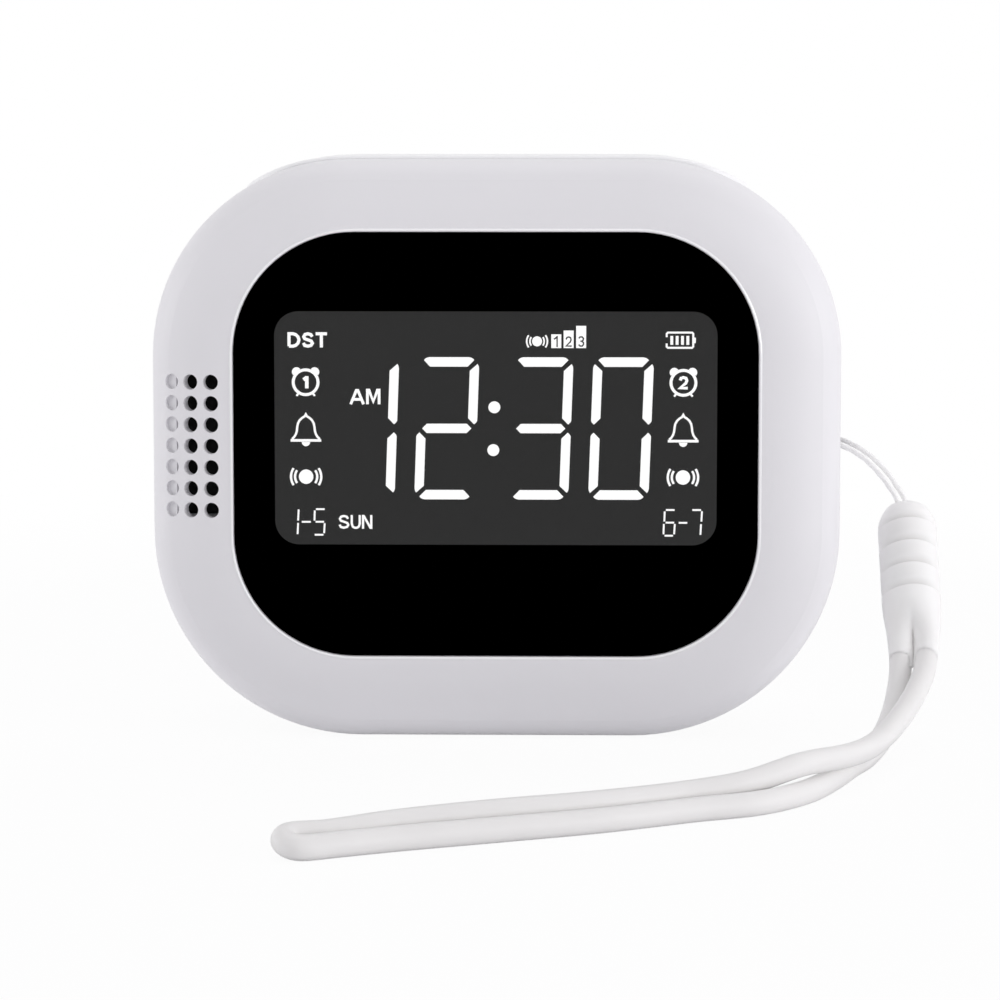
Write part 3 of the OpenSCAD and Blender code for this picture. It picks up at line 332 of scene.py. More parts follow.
# Wrist strap, sleeve: white silicone, moulded over the ends of the string and of the loop. It has a domed top
# and four grip grooves that arch up in front and behind, each cut in under a crisp edge. Below it parts into
# two collars, which run out thin along the loop's ends.
sleeve_foot = (52.2, -13.5, 11.6)
sleeve_roll = math.radians(-1.9)
sleeve_lean = math.radians(-23)
sleeve_at = Matrix.Translation([along * mm for along in sleeve_foot])
sleeve_at = sleeve_at @ Matrix.Rotation(sleeve_roll, 4, "Y") @ Matrix.Rotation(sleeve_lean, 4, "X")
sleeve_r = 3.7
sleeve_l = 19.0
groove_levels = (16.0, 13.1, 10.2, 7.3)
groove_deep = 0.95
groove_shallow = 0.05
groove_power = 1.5
groove_run = 1.25
groove_arch = 0.75
arch_in_low = 1.5
arch_in_high = 2.0
fork_low = 1.4
fork_high = 5.9
collar_end_r = 1.36
collar_end = -2.8
web_r = 0.8
web_least = 0.1
dome_low = 16.0
dome_power = 2.2


def ease(share):
    """A share from 0 to 1 that starts and ends gently."""
    share = min(max(share, 0), 1)
    return share * share * (3 - 2 * share)


def sleeve_radius(level, turn):
    """Radius of the sleeve at a level and an angle, with its grooves and dome."""
    dome = max(level - dome_low, 0) / (sleeve_l - dome_low)
    r = sleeve_r * max(1 - dome ** dome_power, 0) ** (1 / dome_power)
    deep = groove_shallow + (groove_deep - groove_shallow) * abs(math.sin(turn)) ** groove_power
    for groove in groove_levels:
        if groove < level < groove + groove_run:
            r -= deep * (1 - (level - groove) / groove_run) ** 2
    return r


def end_place(end, level):
    """Where one end of the loop passes a level of the sleeve."""
    for a, b in zip(end, end[1:]):
        if b.z <= level <= a.z:
            return (a + (b - a) * (a.z - level) / (a.z - b.z)).to_2d()
    return end[0].to_2d()


into_sleeve = sleeve_at.inverted()
end_points = 40
loop_ends = [[into_sleeve @ p / mm for p in stretch]
             for stretch in (loop_curve[:end_points], loop_curve[:-end_points:-1])]


def sleeve_ring(level):
    """Outline of the sleeve at a level: round above, two collars around the loop's ends below."""
    parted = ease((fork_high - level) / (fork_high - fork_low))
    one, other = (end_place(end, level) for end in loop_ends)
    middle = (one + other) / 2 * parted
    half = (other - one) / 2
    apart = half.length * parted
    thinned = ease((fork_high - level) / (fork_high - collar_end))
    end_reach = half.length + collar_end_r

    def radius(turn):
        r = sleeve_radius(level, turn) * (1 - thinned) + end_reach * thinned - apart
        across = turn - math.atan2(half.y, half.x)
        web = web_r * (1 - thinned) + web_least
        square = max(r * r - (apart * math.sin(across)) ** 2, web ** 2)
        return apart * abs(math.cos(across)) + math.sqrt(square)

    arch = groove_arch * ease((level - fork_high) / arch_in_low) * ease((sleeve_l - level) / arch_in_high)
    return [sleeve_at @ (Vector((middle.x + x, middle.y + y, level - arch * x * x / (x * x + y * y))) * mm)
            for x, y in around(64, radius)]


level_step = 0.35
lip_steps = (-0.3, -0.06, 0, 0.03)
levels = [collar_end + level_step * k for k in range(28)]
for groove in groove_levels:
    levels += [groove + step for step in lip_steps]
    levels += [groove + groove_run * k / 9 for k in range(1, 10)]
levels += [dome_low + (sleeve_l - dome_low) * math.sin(k * math.pi / 24) for k in range(1, 12)]
levels = sorted({round(level, 3) for level in levels})
rings = [sleeve_ring(level) for level in levels]
# Moulded silicone: the whitest part of the strap, with the same waxy skin as the tube. Its tint is painted
# whiter than the tube's, as painted light on the sleeve, which the case shades from the left lamp.
sleeve_silicone_painted_light = silicone("silicone_moulded_painted_light", "#F8F7F6", "#F4F3F2", 0.5)
sleeve = mesh_piece("sleeve_moulded", *loft(rings), sleeve_silicone_painted_light, crease=55)
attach(sleeve, "case")
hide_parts("strap_sleeve")

# Strap pin: a plain steel pin across the pocket in the case's right wall, pressed in before the shells close.
# Zinc plated: bright grey with faint cloudy patches from the plating bath.
cloud_mm = 3.0


def patchy(name, patch_mm, detail, tints, settings, dullness=None, relief=None):
    """A finish in patches of one size. They shift its tint and, where given, its dullness and its relief."""
    made, tree, place = start_material(name)
    patches = add_node(tree, "ShaderNodeTexNoise", {"Scale": 1 / (patch_mm * mm), "Detail": detail},
                       {"Vector": place}).outputs["Fac"]
    pale, deep = (linear(colour) for colour in tints)
    tint = add_node(tree, "ShaderNodeMix", {"data_type": "RGBA", 6: pale, 7: deep}, {0: patches})
    links = {"Base Color": tint.outputs[2]}
    if dullness:
        low, high = dullness
        dull = add_node(tree, "ShaderNodeMapRange", {"To Min": low, "To Max": high}, {"Value": patches})
        links["Roughness"] = dull.outputs[0]
    if relief:
        strength, deep_mm = relief
        bump = add_node(tree, "ShaderNodeBump", {"Strength": strength, "Distance": deep_mm * mm},
                        {"Height": patches})
        links["Normal"] = bump.outputs[0]
    skin = add_node(tree, "ShaderNodeBsdfPrincipled", settings, links)
    add_node(tree, "ShaderNodeOutputMaterial", (), {"Surface": skin.outputs[0]})
    return made


plated = patchy("steel_zinc_plated", cloud_mm, 4.0, ("#B9BCC0", "#D2D3D4"), {"Metallic": 1.0},
                dullness=(0.24, 0.42))
dress(plated, "strap_pin", "case_screws")

# Shells: front and rear half of the case, moulded from white ABS and held together by four screws from
# behind. The front shell carries the grille holes, the panel's seat and the opening of the snooze bar.
# Spark eroded mould: the surface has a fine even grit that makes it matt. The grit is about 0.05 mm across
# and is drawn four times as coarse, so that it shows. Large soft flow marks shift the white a little.
grit_mm = 0.2
flow_mm = 25.0
abs_white, tree, place = start_material("abs_moulded_white_matt")
flow = add_node(tree, "ShaderNodeTexNoise", {"Scale": 1 / (flow_mm * mm), "Detail": 2.0}, {"Vector": place})
tint = add_node(tree, "ShaderNodeMix", {"data_type": "RGBA", 6: linear("#EAE9EC"), 7: linear("#E7E6E9")},
                {0: flow.outputs["Fac"]})
grit = add_node(tree, "ShaderNodeTexNoise", {"Scale": 1 / (grit_mm * mm), "Detail": 3.0}, {"Vector": place})
dull = add_node(tree, "ShaderNodeMapRange", {"To Min": 0.44, "To Max": 0.56}, {"Value": grit.outputs["Fac"]})
matt = add_node(tree, "ShaderNodeBump", {"Strength": 0.10, "Distance": 0.02 * mm},
                {"Height": grit.outputs["Fac"]})
skin = add_node(tree, "ShaderNodeBsdfPrincipled", {"IOR": 1.54, "Sheen Weight": 0.2, "Sheen Roughness": 0.5},
                {"Base Color": tint.outputs[2], "Roughness": dull.outputs[0], "Normal": matt.outputs[0]})
add_node(tree, "ShaderNodeOutputMaterial", (), {"Surface": skin.outputs[0]})
dress(abs_white, "front_housing", "rear_housing")

# Grille rib: a rib of the front shell, moulded with it, behind the outermost of the three columns of holes.
# It closes each of these holes just under the surface, but for a slit at the side towards the panel. The
# holes stand square to the round left edge of the case, an arc with its middle at rim_x and rim_y.
hole_lean = math.radians(28.8)
hole_out = Vector((-math.sin(hole_lean), -math.cos(hole_lean), 0))
hole_side = Vector((math.cos(hole_lean), -math.sin(hole_lean), 0))
rim_x = -33.05
rim_y = -2.1
rim_r = 14.87
hole_rows = 7
hole_low = 29.0
hole_step = 2.65
hole_r = 0.96
slit_turn = 71
rib_deep = 0.55
rib_t = 0.6
points, faces = [], []
for row in range(hole_rows):
    rings = []
    for deep in (rib_deep + rib_t, rib_deep):
        middle = Vector((rim_x, rim_y, hole_low + row * hole_step)) + hole_out * (rim_r - deep)
        turns = [math.radians(slit_turn + (360 - 2 * slit_turn) * k / 27) for k in range(28)]
        rings.append([(middle + hole_side * hole_r * math.cos(t) + Vector((0, 0, hole_r * math.sin(t)))) * mm
                      for t in turns])
    plate = loft(rings)
    faces += [tuple(v + len(points) for v in f) for f in plate[1]]
    points += plate[0]
rib = mesh_piece("grille_rib", points, faces, abs_white)
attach(rib, "case")

# Panel lip: the rounded edge of the front shell around the black panel. It is part of the same moulding, but
# its part of the mould is polished, so its small radius catches the light as a thin white line all round. Its
# colour is painted whiter than the shell's, as a painted highlight that makes this line brighter.
polish_mm = 8.0
# Pure white base, whiter than the shell's same ABS: a painted highlight for the line around the panel.
lip_painted_highlight = patchy("abs_polished_painted_highlight", polish_mm, 2.0, ("#FFFFFF", "#FBFBFD"),
                    {"IOR": 1.54, "Coat Weight": 0.8, "Coat Roughness": 0.1, "Sheen Weight": 0.3,
                     "Sheen Roughness": 0.3}, dullness=(0.14, 0.22))
panel_w = 64.8
panel_h = 52.5
panel_corner = 15.0
panel_z = 37.15
lip_gap = 0.1
lip_r = 0.2
front_y = -17.0
lip_sunk = 0.09
lip_y = front_y + lip_sunk


def rounded_outline(w, h, r, steps):
    """Outline of a rectangle with round corners, as points that run anticlockwise from the right side."""
    outline = []
    for turn, (sx, sy) in enumerate([(1, 1), (-1, 1), (-1, -1), (1, -1)]):
        for k in range(steps + 1):
            angle = math.radians(90 * turn + 90 * k / steps)
            outline.append((sx * (w / 2 - r) + r * math.cos(angle), sy * (h / 2 - r) + r * math.sin(angle)))
    return outline


lip_line = []
for grow, lift in [(lip_r + lip_r * math.cos(math.radians(45 * k)), lip_r * math.sin(math.radians(45 * k)))
                   for k in range(8)]:
    size = 2 * (lip_gap + grow)
    ring = rounded_outline(panel_w + size, panel_h + size, panel_corner + lip_gap + grow, 16)
    lip_line.append([Vector((x, lip_y - lift, panel_z + z)) * mm for x, z in ring])
count = len(lip_line[0])
points = [p for ring in lip_line for p in ring]
faces = []
for i in range(len(lip_line)):
    for k in range(count):
        j, n = (i + 1) % len(lip_line), (k + 1) % count
        faces.append((i * count + k, i * count + n, j * count + n, j * count + k))
lip = mesh_piece("panel_lip", points, faces, lip_painted_highlight)
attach(lip, "case")

# Panel: a clear acrylic plate, cut to shape and polished, printed black on its back except for the display
# window. A black foam tape sticks it to the deck of the front shell.
wave_mm = 12.0
acrylic, tree, place = start_material("acrylic_polished_clear")
wave = add_node(tree, "ShaderNodeTexNoise", {"Scale": 1 / (wave_mm * mm), "Detail": 1.0}, {"Vector": place})
dull = add_node(tree, "ShaderNodeMapRange", {"To Min": 0.0, "To Max": 0.02}, {"Value": wave.outputs["Fac"]})
skin = add_node(tree, "ShaderNodeBsdfPrincipled",
                {"Base Color": linear("#FFFFFF"), "IOR": 1.49, "Transmission Weight": 1.0},
                {"Roughness": dull.outputs[0]})
add_node(tree, "ShaderNodeOutputMaterial", (), {"Surface": skin.outputs[0]})
dress(acrylic, "front_lens")

# Screen print: a flat, dense black film with a barely visible mesh pattern from the screen.
print_mm = 0.12
ink = patchy("ink_screen_printed_black", print_mm, 1.0, ("#020202", "#040404"),
             {"Roughness": 0.6, "Specular IOR Level": 0.0})
dress(ink, "lens_mask")

# Foam: dark grey, matt, with small open cells. The tape, the speaker's gasket and the battery's pad are cut
# from it.
cell_mm = 0.4
foam, tree, place = start_material("foam_tape_dark")
cells = add_node(tree, "ShaderNodeTexVoronoi", {"Scale": 1 / (cell_mm * mm)}, {"Vector": place})
tint = add_node(tree, "ShaderNodeMix", {"data_type": "RGBA", 6: linear("#1E1E20"), 7: linear("#343436")},
                {0: cells.outputs["Distance"]})
pits = add_node(tree, "ShaderNodeBump", {"Strength": 0.5, "Distance": 0.1 * mm},
                {"Height": cells.outputs["Distance"]})
skin = add_node(tree, "ShaderNodeBsdfPrincipled", {"Roughness": 0.9},
                {"Base Color": tint.outputs[2], "Normal": pits.outputs[0]})
add_node(tree, "ShaderNodeOutputMaterial", (), {"Surface": skin.outputs[0]})
dress(foam, "lens_tape", "speaker_gasket", "battery_pad")

# Display: liquid crystal glass in a moulded tray, with a light guide, light strip and reflector behind it and
# a contact strip to the main board. The dark field lets a little of the light through, so it glows dark grey.
guide_mm = 18.0
glass, tree, place = start_material("display_glass_dark")
evenness = add_node(tree, "ShaderNodeTexNoise", {"Scale": 1 / (guide_mm * mm), "Detail": 1.0},
                    {"Vector": place})
leak = add_node(tree, "ShaderNodeMix", {"data_type": "RGBA", 6: linear("#313131"), 7: linear("#323232")},
                {0: evenness.outputs["Fac"]})
skin = add_node(tree, "ShaderNodeBsdfPrincipled",
                {"Base Color": linear("#050506"), "Roughness": 0.35, "Specular IOR Level": 0.1,
                 "Emission Strength": 1.0}, {"Emission Color": leak.outputs[2]})
add_node(tree, "ShaderNodeOutputMaterial", (), {"Surface": skin.outputs[0]})
dress(glass, "lcd_panel")

# Display tray and light: a white moulded tray, a clear light guide with a strip of three lamps along its top,
# a reflector sheet behind it, and a pink rubber contact strip with fine black layers below. The tray's nylon
# is left uncoloured: a warm white, cloudy and half matt. Other small inner parts are made of it too.
nylon_mm = 1.5
nylon = patchy("nylon_moulded_natural", nylon_mm, 3.0, ("#E4E2D6", "#D6D3C6"), {"IOR": 1.53},
               dullness=(0.4, 0.6))
dress(nylon, "lcd_holder", "reflector_sheet", "backlight_guide", "backlight_strip", "board_connectors",
      "snooze_plunger", "alarm_one_plunger", "time_plunger", "alarm_two_plunger", "up_plunger",
      "down_plunger", "motor_cradle", "motor_end_cap")

# Layered silicone: pink rubber and black carbon layers in turn, which show as stripes across the strip. The
# wave pattern turns by 20 radians in one unit, so the stripes are drawn about six times as coarse as real.
layer_mm = 0.2
wave_turn = 20
contact, tree, place = start_material("silicone_layered_contact")
layers = add_node(tree, "ShaderNodeTexWave", {"Scale": 1 / (wave_turn * layer_mm * mm)}, {"Vector": place})
tint = add_node(tree, "ShaderNodeMix", {"data_type": "RGBA", 6: linear("#D98A94"), 7: linear("#2A2426")},
                {0: layers.outputs["Fac"]})
skin = add_node(tree, "ShaderNodeBsdfPrincipled", {"Roughness": 0.6}, {"Base Color": tint.outputs[2]})
add_node(tree, "ShaderNodeOutputMaterial", (), {"Surface": skin.outputs[0]})
dress(contact, "zebra_strip")

# Display marks: the lit areas of the liquid crystal: four digits, words and signs. In the real glass they are
# clear areas in front of the white light, so here they are thin white plates on the glass that glow evenly.
lit, tree, place = start_material("display_light_white")
evenness = add_node(tree, "ShaderNodeTexNoise", {"Scale": 1 / (guide_mm * mm), "Detail": 1.0},
                    {"Vector": place})
light = add_node(tree, "ShaderNodeMix", {"data_type": "RGBA", 6: linear("#FFFFFF"), 7: linear("#FDFDFD")},
                 {0: evenness.outputs["Fac"]})
skin = add_node(tree, "ShaderNodeBsdfPrincipled",
                {"Base Color": linear("#202020"), "Roughness": 0.6, "Specular IOR Level": 0.0,
                 "Emission Strength": 1.1}, {"Emission Color": light.outputs[2]})
add_node(tree, "ShaderNodeOutputMaterial", (), {"Surface": skin.outputs[0]})
mark_back = -15.01
mark_front = -15.06


def circle(x, z, r, start=0, end=360, steps=32):
    """Points of an arc, or of a whole circle without its last point."""
    last = steps if end - start == 360 else steps - 1
    turns = [math.radians(start + (end - start) * k / last) for k in range(steps)]
    return [(x + r * math.cos(t), z + r * math.sin(t)) for t in turns]


def stroke(line, width):
    """Outline of a line of even width with mitred corners."""
    least_share = 0.5
    sides = []
    for i, (x, z) in enumerate(line):
        before = line[i - 1] if i else line[0]
        after = line[i + 1] if i + 1 < len(line) else line[-1]
        a = Vector((x - before[0], z - before[1])) if i else Vector((after[0] - x, after[1] - z))
        b = Vector((after[0] - x, after[1] - z)) if i + 1 < len(line) else a
        a, b = a.normalized(), b.normalized()
        across = (Vector((-a.y, a.x)) + Vector((-b.y, b.x))).normalized()
        across *= width / 2 / max(across.dot(Vector((-a.y, a.x))), least_share)
        sides.append(((x + across.x, z + across.y), (x - across.x, z - across.y)))
    return sides


def raise_marks(name, plates, lines, material=lit, front=mark_front, back=mark_back):
    """One piece of flat plates, given by outlines, and of lines, given as (points, width, closed)."""
    points, faces = [], []
    for outline in plates:
        start, n = len(points), len(outline)
        for y in (front, back):
            points += [Vector((x, y, z)) * mm for x, z in outline]
        faces += [tuple(range(start, start + n)), tuple(range(start + 2 * n - 1, start + n - 1, -1))]
        faces += [(start + k, start + n + k, start + n + (k + 1) % n, start + (k + 1) % n) for k in range(n)]
    for line, width, closed in lines:
        sides = stroke(line + [line[0], line[1]] if closed else line, width)
        sides = [sides[-2]] + sides[1:-1] if closed else sides
        start, n = len(points), len(sides)
        for y in (front, back):
            for a, b in sides:
                points += [Vector((a[0], y, a[1])) * mm, Vector((b[0], y, b[1])) * mm]
        for k in range(n - 1):
            f, r = start + 2 * k, start + 2 * n + 2 * k
            faces += [(f, f + 1, f + 3, f + 2), (r, r + 2, r + 3, r + 1),
                      (f, f + 2, r + 2, r), (f + 1, r + 1, r + 3, f + 3)]
        if not closed:
            f, r = start + 2 * n - 2, start + 4 * n - 2
            faces += [(start, start + 2 * n, start + 2 * n + 1, start + 1), (f, f + 1, r + 1, r)]
    piece = mesh_piece(name, points, faces, material, crease=20)
    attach(piece, "case")
    return piece


# Digits: seven segments each, 17.6 mm tall, with mitred ends and rounded outer corners, and a slight lean.
digit_z = 39.15
digit_lean = 0.036
column_x = 3.17
row_z = 8.25
arm_z = 4.25
digit_places = {-15.97: "bc", -6.05: "abged", 5.59: "abgcd", 15.53: "abcdef"}
flat_end = [(-3.11, 0.22), (-2.97, 0.39), (-2.75, 0.52), (-2.45, 0.59)]
flat_bar = flat_end + [(-x, z) for x, z in flat_end[::-1]] + [(2.33, -0.59), (-2.33, -0.59)]
middle_bar = [(-3.05, 0), (-2.48, 0.58), (2.48, 0.58), (3.05, 0), (2.48, -0.58), (-2.48, -0.58)]
arm = [(-0.57, -2.98), (0.2, -3.75), (0.46, -3.5), (0.57, -3.3), (0.57, 3.2), (0.51, 3.5), (0.36, 3.75),
       (-0.57, 2.9)]


def segment(letter, x):
    """Outline of one segment of the digit whose middle is at x."""
    if letter in "adg":
        flip = {"a": 1, "d": -1, "g": 0}[letter]
        shape = [(px, pz * flip + row_z * flip) for px, pz in flat_bar] if flip else middle_bar
    else:
        right = 1 if letter in "bc" else -1
        up = 1 if letter in "bf" else -1
        shape = [(right * (column_x + px), up * (arm_z + pz)) for px, pz in arm]
    return [(x + px + digit_lean * pz, digit_z + pz) for px, pz in shape]


def facing(outline):
    """The outline, turned so that its plate faces the viewer."""
    area = sum(a[0] * b[1] - b[0] * a[1] for a, b in zip(outline, outline[1:] + outline[:1]))
    return outline if area > 0 else outline[::-1]


segments = [facing(segment(letter, x)) for x, letters in digit_places.items() for letter in letters]
colon_r = 0.74
colon = [circle(-0.15, 41.78, colon_r), circle(-0.28, 36.46, colon_r)]
raise_marks("digits", segments + colon, [])

# Signs: two alarm clocks, two bells, two shake signs, the shake strength and the battery.
alarm_z = 44.85
alarm_r = 1.54
alarm_line = 0.36
ear_x = 1.12
ear_z = 1.28
ear_r = 0.58
ear_gap = 0.24
foot = [(0.92, -1.42), (1.14, -1.7)]
foot_line = 0.26
bell_z = 38.9
bell_half = [(0.0, 1.98), (0.14, 1.72), (0.46, 1.52), (0.78, 1.22), (0.98, 0.84), (1.07, 0.4), (1.12, -0.1),
             (1.24, -0.5), (1.46, -0.86), (1.72, -1.1)]
bell_line = 0.27
brim_half = 1.9
brim_z = bell_z - 1.28
brim_line = 0.32
clapper_z = bell_z - 1.48
clapper_r = 0.52
shake_z = 33.1
shake_r = 0.9
shake_line = 0.28
for name, x in (("one", -23.53), ("two", 23.22)):
    ears = []
    for side in (-1, 1):
        ear = []
        for px, pz in circle(side * ear_x, ear_z, ear_r):
            grow = max(1.0, (alarm_r + ear_gap) / math.hypot(px, pz))
            ear.append((x + px * grow, alarm_z + pz * grow))
        ears.append(facing(ear))
    feet = [([(x + side * px, alarm_z + pz) for px, pz in foot], foot_line, False) for side in (-1, 1)]
    raise_marks("alarm_sign_" + name, ears, [(circle(x, alarm_z, alarm_r), alarm_line, True)] + feet)

    bell = [(x + px, bell_z + pz) for px, pz in bell_half]
    bell = [(2 * x - px, pz) for px, pz in bell[:0:-1]] + bell
    brim = [(x - brim_half, brim_z), (x + brim_half, brim_z)]
    clapper = circle(x, clapper_z, clapper_r, 180, 359.9, 16)
    raise_marks("bell_sign_" + name, [facing(clapper)], [(bell, bell_line, False), (brim, brim_line, False)])

    waves = []
    for r, spread in ((1.38, 35), (1.88, 34)):
        for middle in (0, 180):
            wave = circle(x, shake_z, r, middle - spread, middle + spread, 12)
            waves.append((wave, shake_line, False))
    raise_marks("shake_sign_" + name, [circle(x, shake_z, shake_r)], waves)

strength_x = 5.13
strength_z = 49.96
strength_r = 0.62
strength_line = 0.2
strength_spread = 36
step_w = 1.24
step_low = 49.13
waves = []
for r in (0.88, 1.28):
    for middle in (0, 180):
        wave = circle(strength_x, strength_z, r, middle - strength_spread, middle + strength_spread, 10)
        waves.append((wave, strength_line, False))
steps = [[(left, step_low), (left + step_w, step_low), (left + step_w, top), (left, top)]
         for left, top in ((6.88, 50.83), (8.41, 51.3), (9.95, 51.88))]
raise_marks("strength_sign", [circle(strength_x, strength_z, strength_r)] + steps, waves)

battery_line = 0.24
charge_w = 0.35
charge_low = 49.55
charge_high = 50.65
shell = [(21.13, 50.5), (21.13, 50.92), (21.27, 51.06), (24.26, 51.06), (24.4, 50.92), (24.4, 49.32),
         (24.26, 49.18), (21.27, 49.18), (21.13, 49.32), (21.13, 49.72)]
bars = [[(left, charge_low), (left + charge_w, charge_low), (left + charge_w, charge_high),
         (left, charge_high)] for left in (21.58, 22.24, 22.9, 23.56)]
nub = [(24.5, 49.72), (24.72, 49.8), (24.72, 50.42), (24.5, 50.5)]
raise_marks("battery_sign", bars + [nub], [(shell, battery_line, False)])

# Weekday ranges: small seven segment figures of thin strokes.
thin = 0.22
range_lines = [
    [(-24.48, 29), (-24.56, 27.62)], [(-24.56, 27.32), (-24.63, 25.92)], [(-24.1, 27.46), (-22.98, 27.46)],
    [(-22.33, 29.05), (-21.25, 29.05)], [(-22.48, 28.88), (-22.52, 27.62)],
    [(-22.38, 27.47), (-21.33, 27.47)], [(-21.25, 27.28), (-21.33, 26.05)],
    [(-22.5, 25.85), (-21.42, 25.85)],
    [(21.13, 29.05), (22.2, 29.05)], [(20.98, 28.87), (20.94, 27.62)], [(21.1, 27.47), (22.16, 27.47)],
    [(20.88, 27.3), (20.84, 26.02)], [(22.24, 27.3), (22.16, 26.02)], [(20.98, 25.84), (22.02, 25.84)],
    [(22.72, 27.45), (23.78, 27.45)],
    [(24.4, 29.05), (25.48, 29.05)], [(25.6, 28.9), (25.53, 27.62)], [(25.49, 27.28), (25.42, 25.96)]]
raise_marks("weekday_ranges", [], [(line, thin, False) for line in range_lines])

# Words and figures: plain letters of even strokes. Each has its width for a height of one, and its lines.
letters = {
    "D": (0.86, [[(0, 0), (0, 1), (0.4, 1), (0.68, 0.93), (0.9, 0.75), (1, 0.5), (0.9, 0.25), (0.68, 0.07),
                  (0.4, 0), (-0.01, 0)]]),
    "S": (0.82, [[(0.95, 0.76), (0.82, 0.93), (0.5, 1), (0.2, 0.94), (0.05, 0.76), (0.16, 0.6), (0.5, 0.51),
                  (0.86, 0.41), (0.98, 0.24), (0.84, 0.07), (0.5, 0), (0.16, 0.06), (0.02, 0.26)]]),
    "T": (0.8, [[(-0.12, 1), (1.12, 1)], [(0.5, 0.98), (0.5, -0.1)]]),
    "A": (1.04, [[(0, -0.1), (0.44, 0.98), (0.56, 0.98), (1, -0.1)], [(0.22, 0.28), (0.78, 0.28)]]),
    "M": (0.96, [[(0, -0.1), (0, 1), (0.14, 1), (0.5, 0.12), (0.86, 1), (1, 1), (1, -0.1)]]),
    "U": (0.74, [[(0, 1.08), (0, 0.35), (0.12, 0.1), (0.35, 0), (0.65, 0), (0.88, 0.1), (1, 0.35),
                  (1, 1.08)]]),
    "N": (0.76, [[(0, -0.08), (0, 1), (0.1, 1), (0.9, 0), (1, 0), (1, 1.08)]]),
    "1": (0.5, [[(-0.2, 0.74), (0.5, 0.9), (0.84, 1)], [(0.84, 1.1), (0.84, -0.12)]]),
    "2": (0.72, [[(0.02, 0.72), (0.14, 0.92), (0.5, 1), (0.86, 0.92), (0.98, 0.7), (0.84, 0.46), (0.02, 0),
                  (1.1, 0)]]),
    "3": (0.7, [[(0.04, 0.84), (0.3, 1), (0.7, 1), (0.95, 0.84), (0.9, 0.64), (0.62, 0.53), (0.36, 0.53)],
                [(0.62, 0.53), (0.96, 0.38), (0.98, 0.18), (0.7, 0), (0.3, 0), (0.02, 0.16)]])}


def raise_word(name, text, left, low, right, high, width, **look):
    """A word in strokes of one width, fitted to a box on the display."""
    gap = 0.14
    unit = (right - left - gap * (len(text) - 1)) / sum(letters[letter][0] for letter in text)
    lines = []
    for letter in text:
        wide = letters[letter][0] * unit
        for line in letters[letter][1]:
            places = [(left + u * (wide - width), low + v * (high - low - width)) for u, v in line]
            lines.append(([(x + width / 2, z + width / 2) for x, z in places], width, False))
        left += wide + gap
    raise_marks(name, [], lines, **look)


raise_word("word_dst", "DST", -25.75, 49.13, -20.8, 51.05, 0.38)
raise_word("word_am", "AM", -18.12, 42.12, -14.26, 44.05, 0.34)
raise_word("word_sun", "SUN", -19.55, 26.6, -15.32, 28.34, 0.27)
raise_word("alarm_figure_one", "1", -23.95, 44.02, -23.1, 45.7, 0.44)
raise_word("alarm_figure_two", "2", 22.62, 44.02, 23.84, 45.7, 0.36)
figure_lift = 0.03
figure_low = 49.3
figure_high = 50.6
figure_line = 0.17
for text, left, wide in (("1", 7.2, 0.55), ("2", 8.63, 0.8), ("3", 10.17, 0.8)):
    raise_word("strength_figure_" + text, text, left, figure_low, left + wide, figure_high, figure_line,
               material=glass, front=mark_front - figure_lift, back=mark_front)

# Main board: glass fibre with green solder resist, held by two screws behind the display tray. It carries the
# controller, a crystal, the connectors and the snooze switch. Copper tracks show as lighter green lines.
track_mm = 2.2
board_green, tree, place = start_material("glass_fibre_green_resist")
tracks = add_node(tree, "ShaderNodeTexBrick",
                  {"Scale": 1 / (track_mm * mm), "Mortar Size": 0.08, "Color1": linear("#0F4A2A"),
                   "Color2": linear("#125231"), "Mortar": linear("#1F6A41")}, {"Vector": place})
raised = add_node(tree, "ShaderNodeBump", {"Strength": 0.3, "Distance": 0.03 * mm},
                  {"Height": tracks.outputs["Fac"]})
skin = add_node(tree, "ShaderNodeBsdfPrincipled", {"Roughness": 0.28, "IOR": 1.5},
                {"Base Color": tracks.outputs["Color"], "Normal": raised.outputs[0]})
add_node(tree, "ShaderNodeOutputMaterial", (), {"Surface": skin.outputs[0]})
dress(board_green, "main_board", "rear_board")
dress(plated, "main_board_screws", "rear_board_screws")

# Black moulded parts: the controller's package, the switch bodies, the speaker's basket and the slide. Glass
# filled plastic, satin black, with pale specks where the filler comes to the surface.
speck_mm = 0.3
pbt_black = patchy("pbt_moulded_black", speck_mm, 4.0, ("#151517", "#2B2B2E"), {"IOR": 1.55},
                   dullness=(0.4, 0.6))
dress(pbt_black, "controller_chip", "snooze_switch", "rear_switches", "mode_switch_body", "speaker_frame",
      "usb_tongue")

# Snooze bar: a satin white cap of moulded ABS in the opening along the top. Two stops under its long sides
# hold it below the shell, and a post in its middle works the switch. Its rounded edges leave a fine seam.
bar_half = 32.0
bar_depth = 18.0
bar_corner = 8.0
bar_y = -0.6
bar_top = 72.8
bar_bend_x = 18.5
bar_bend_r = 25.0
bar_edge = 0.5
bar_skin = 2.0
bar_wall = 1.2
bar_skirt = 3.7
satin_mm = 0.3
abs_satin = patchy("abs_moulded_white_satin", satin_mm, 3.0, ("#FAFAFB", "#F6F6F7"), {"IOR": 1.54},
                   dullness=(0.32, 0.42))


def bar_ring(inset, drop):
    """Ring of the bar, this far inside its outline and below its curved top."""
    straight = bar_half - bar_corner
    half = [(straight * k / 8, bar_depth / 2 - inset) for k in range(8)]
    r = bar_corner - inset
    for k in range(13):
        turn = math.radians(90 * k / 12)
        half.append((straight + r * math.sin(turn), bar_depth / 2 - bar_corner + r * math.cos(turn)))
    line = [(-x, y) for x, y in half[:0:-1]] + half
    ring = []
    for x, y in [(x, -y) for x, y in line] + line[::-1]:
        bend = math.sqrt((bar_bend_r - drop) ** 2 - max(abs(x) - bar_bend_x, 0) ** 2)
        ring.append(Vector((x, bar_y + y, bar_top - bar_bend_r + bend)) * mm)
    return ring


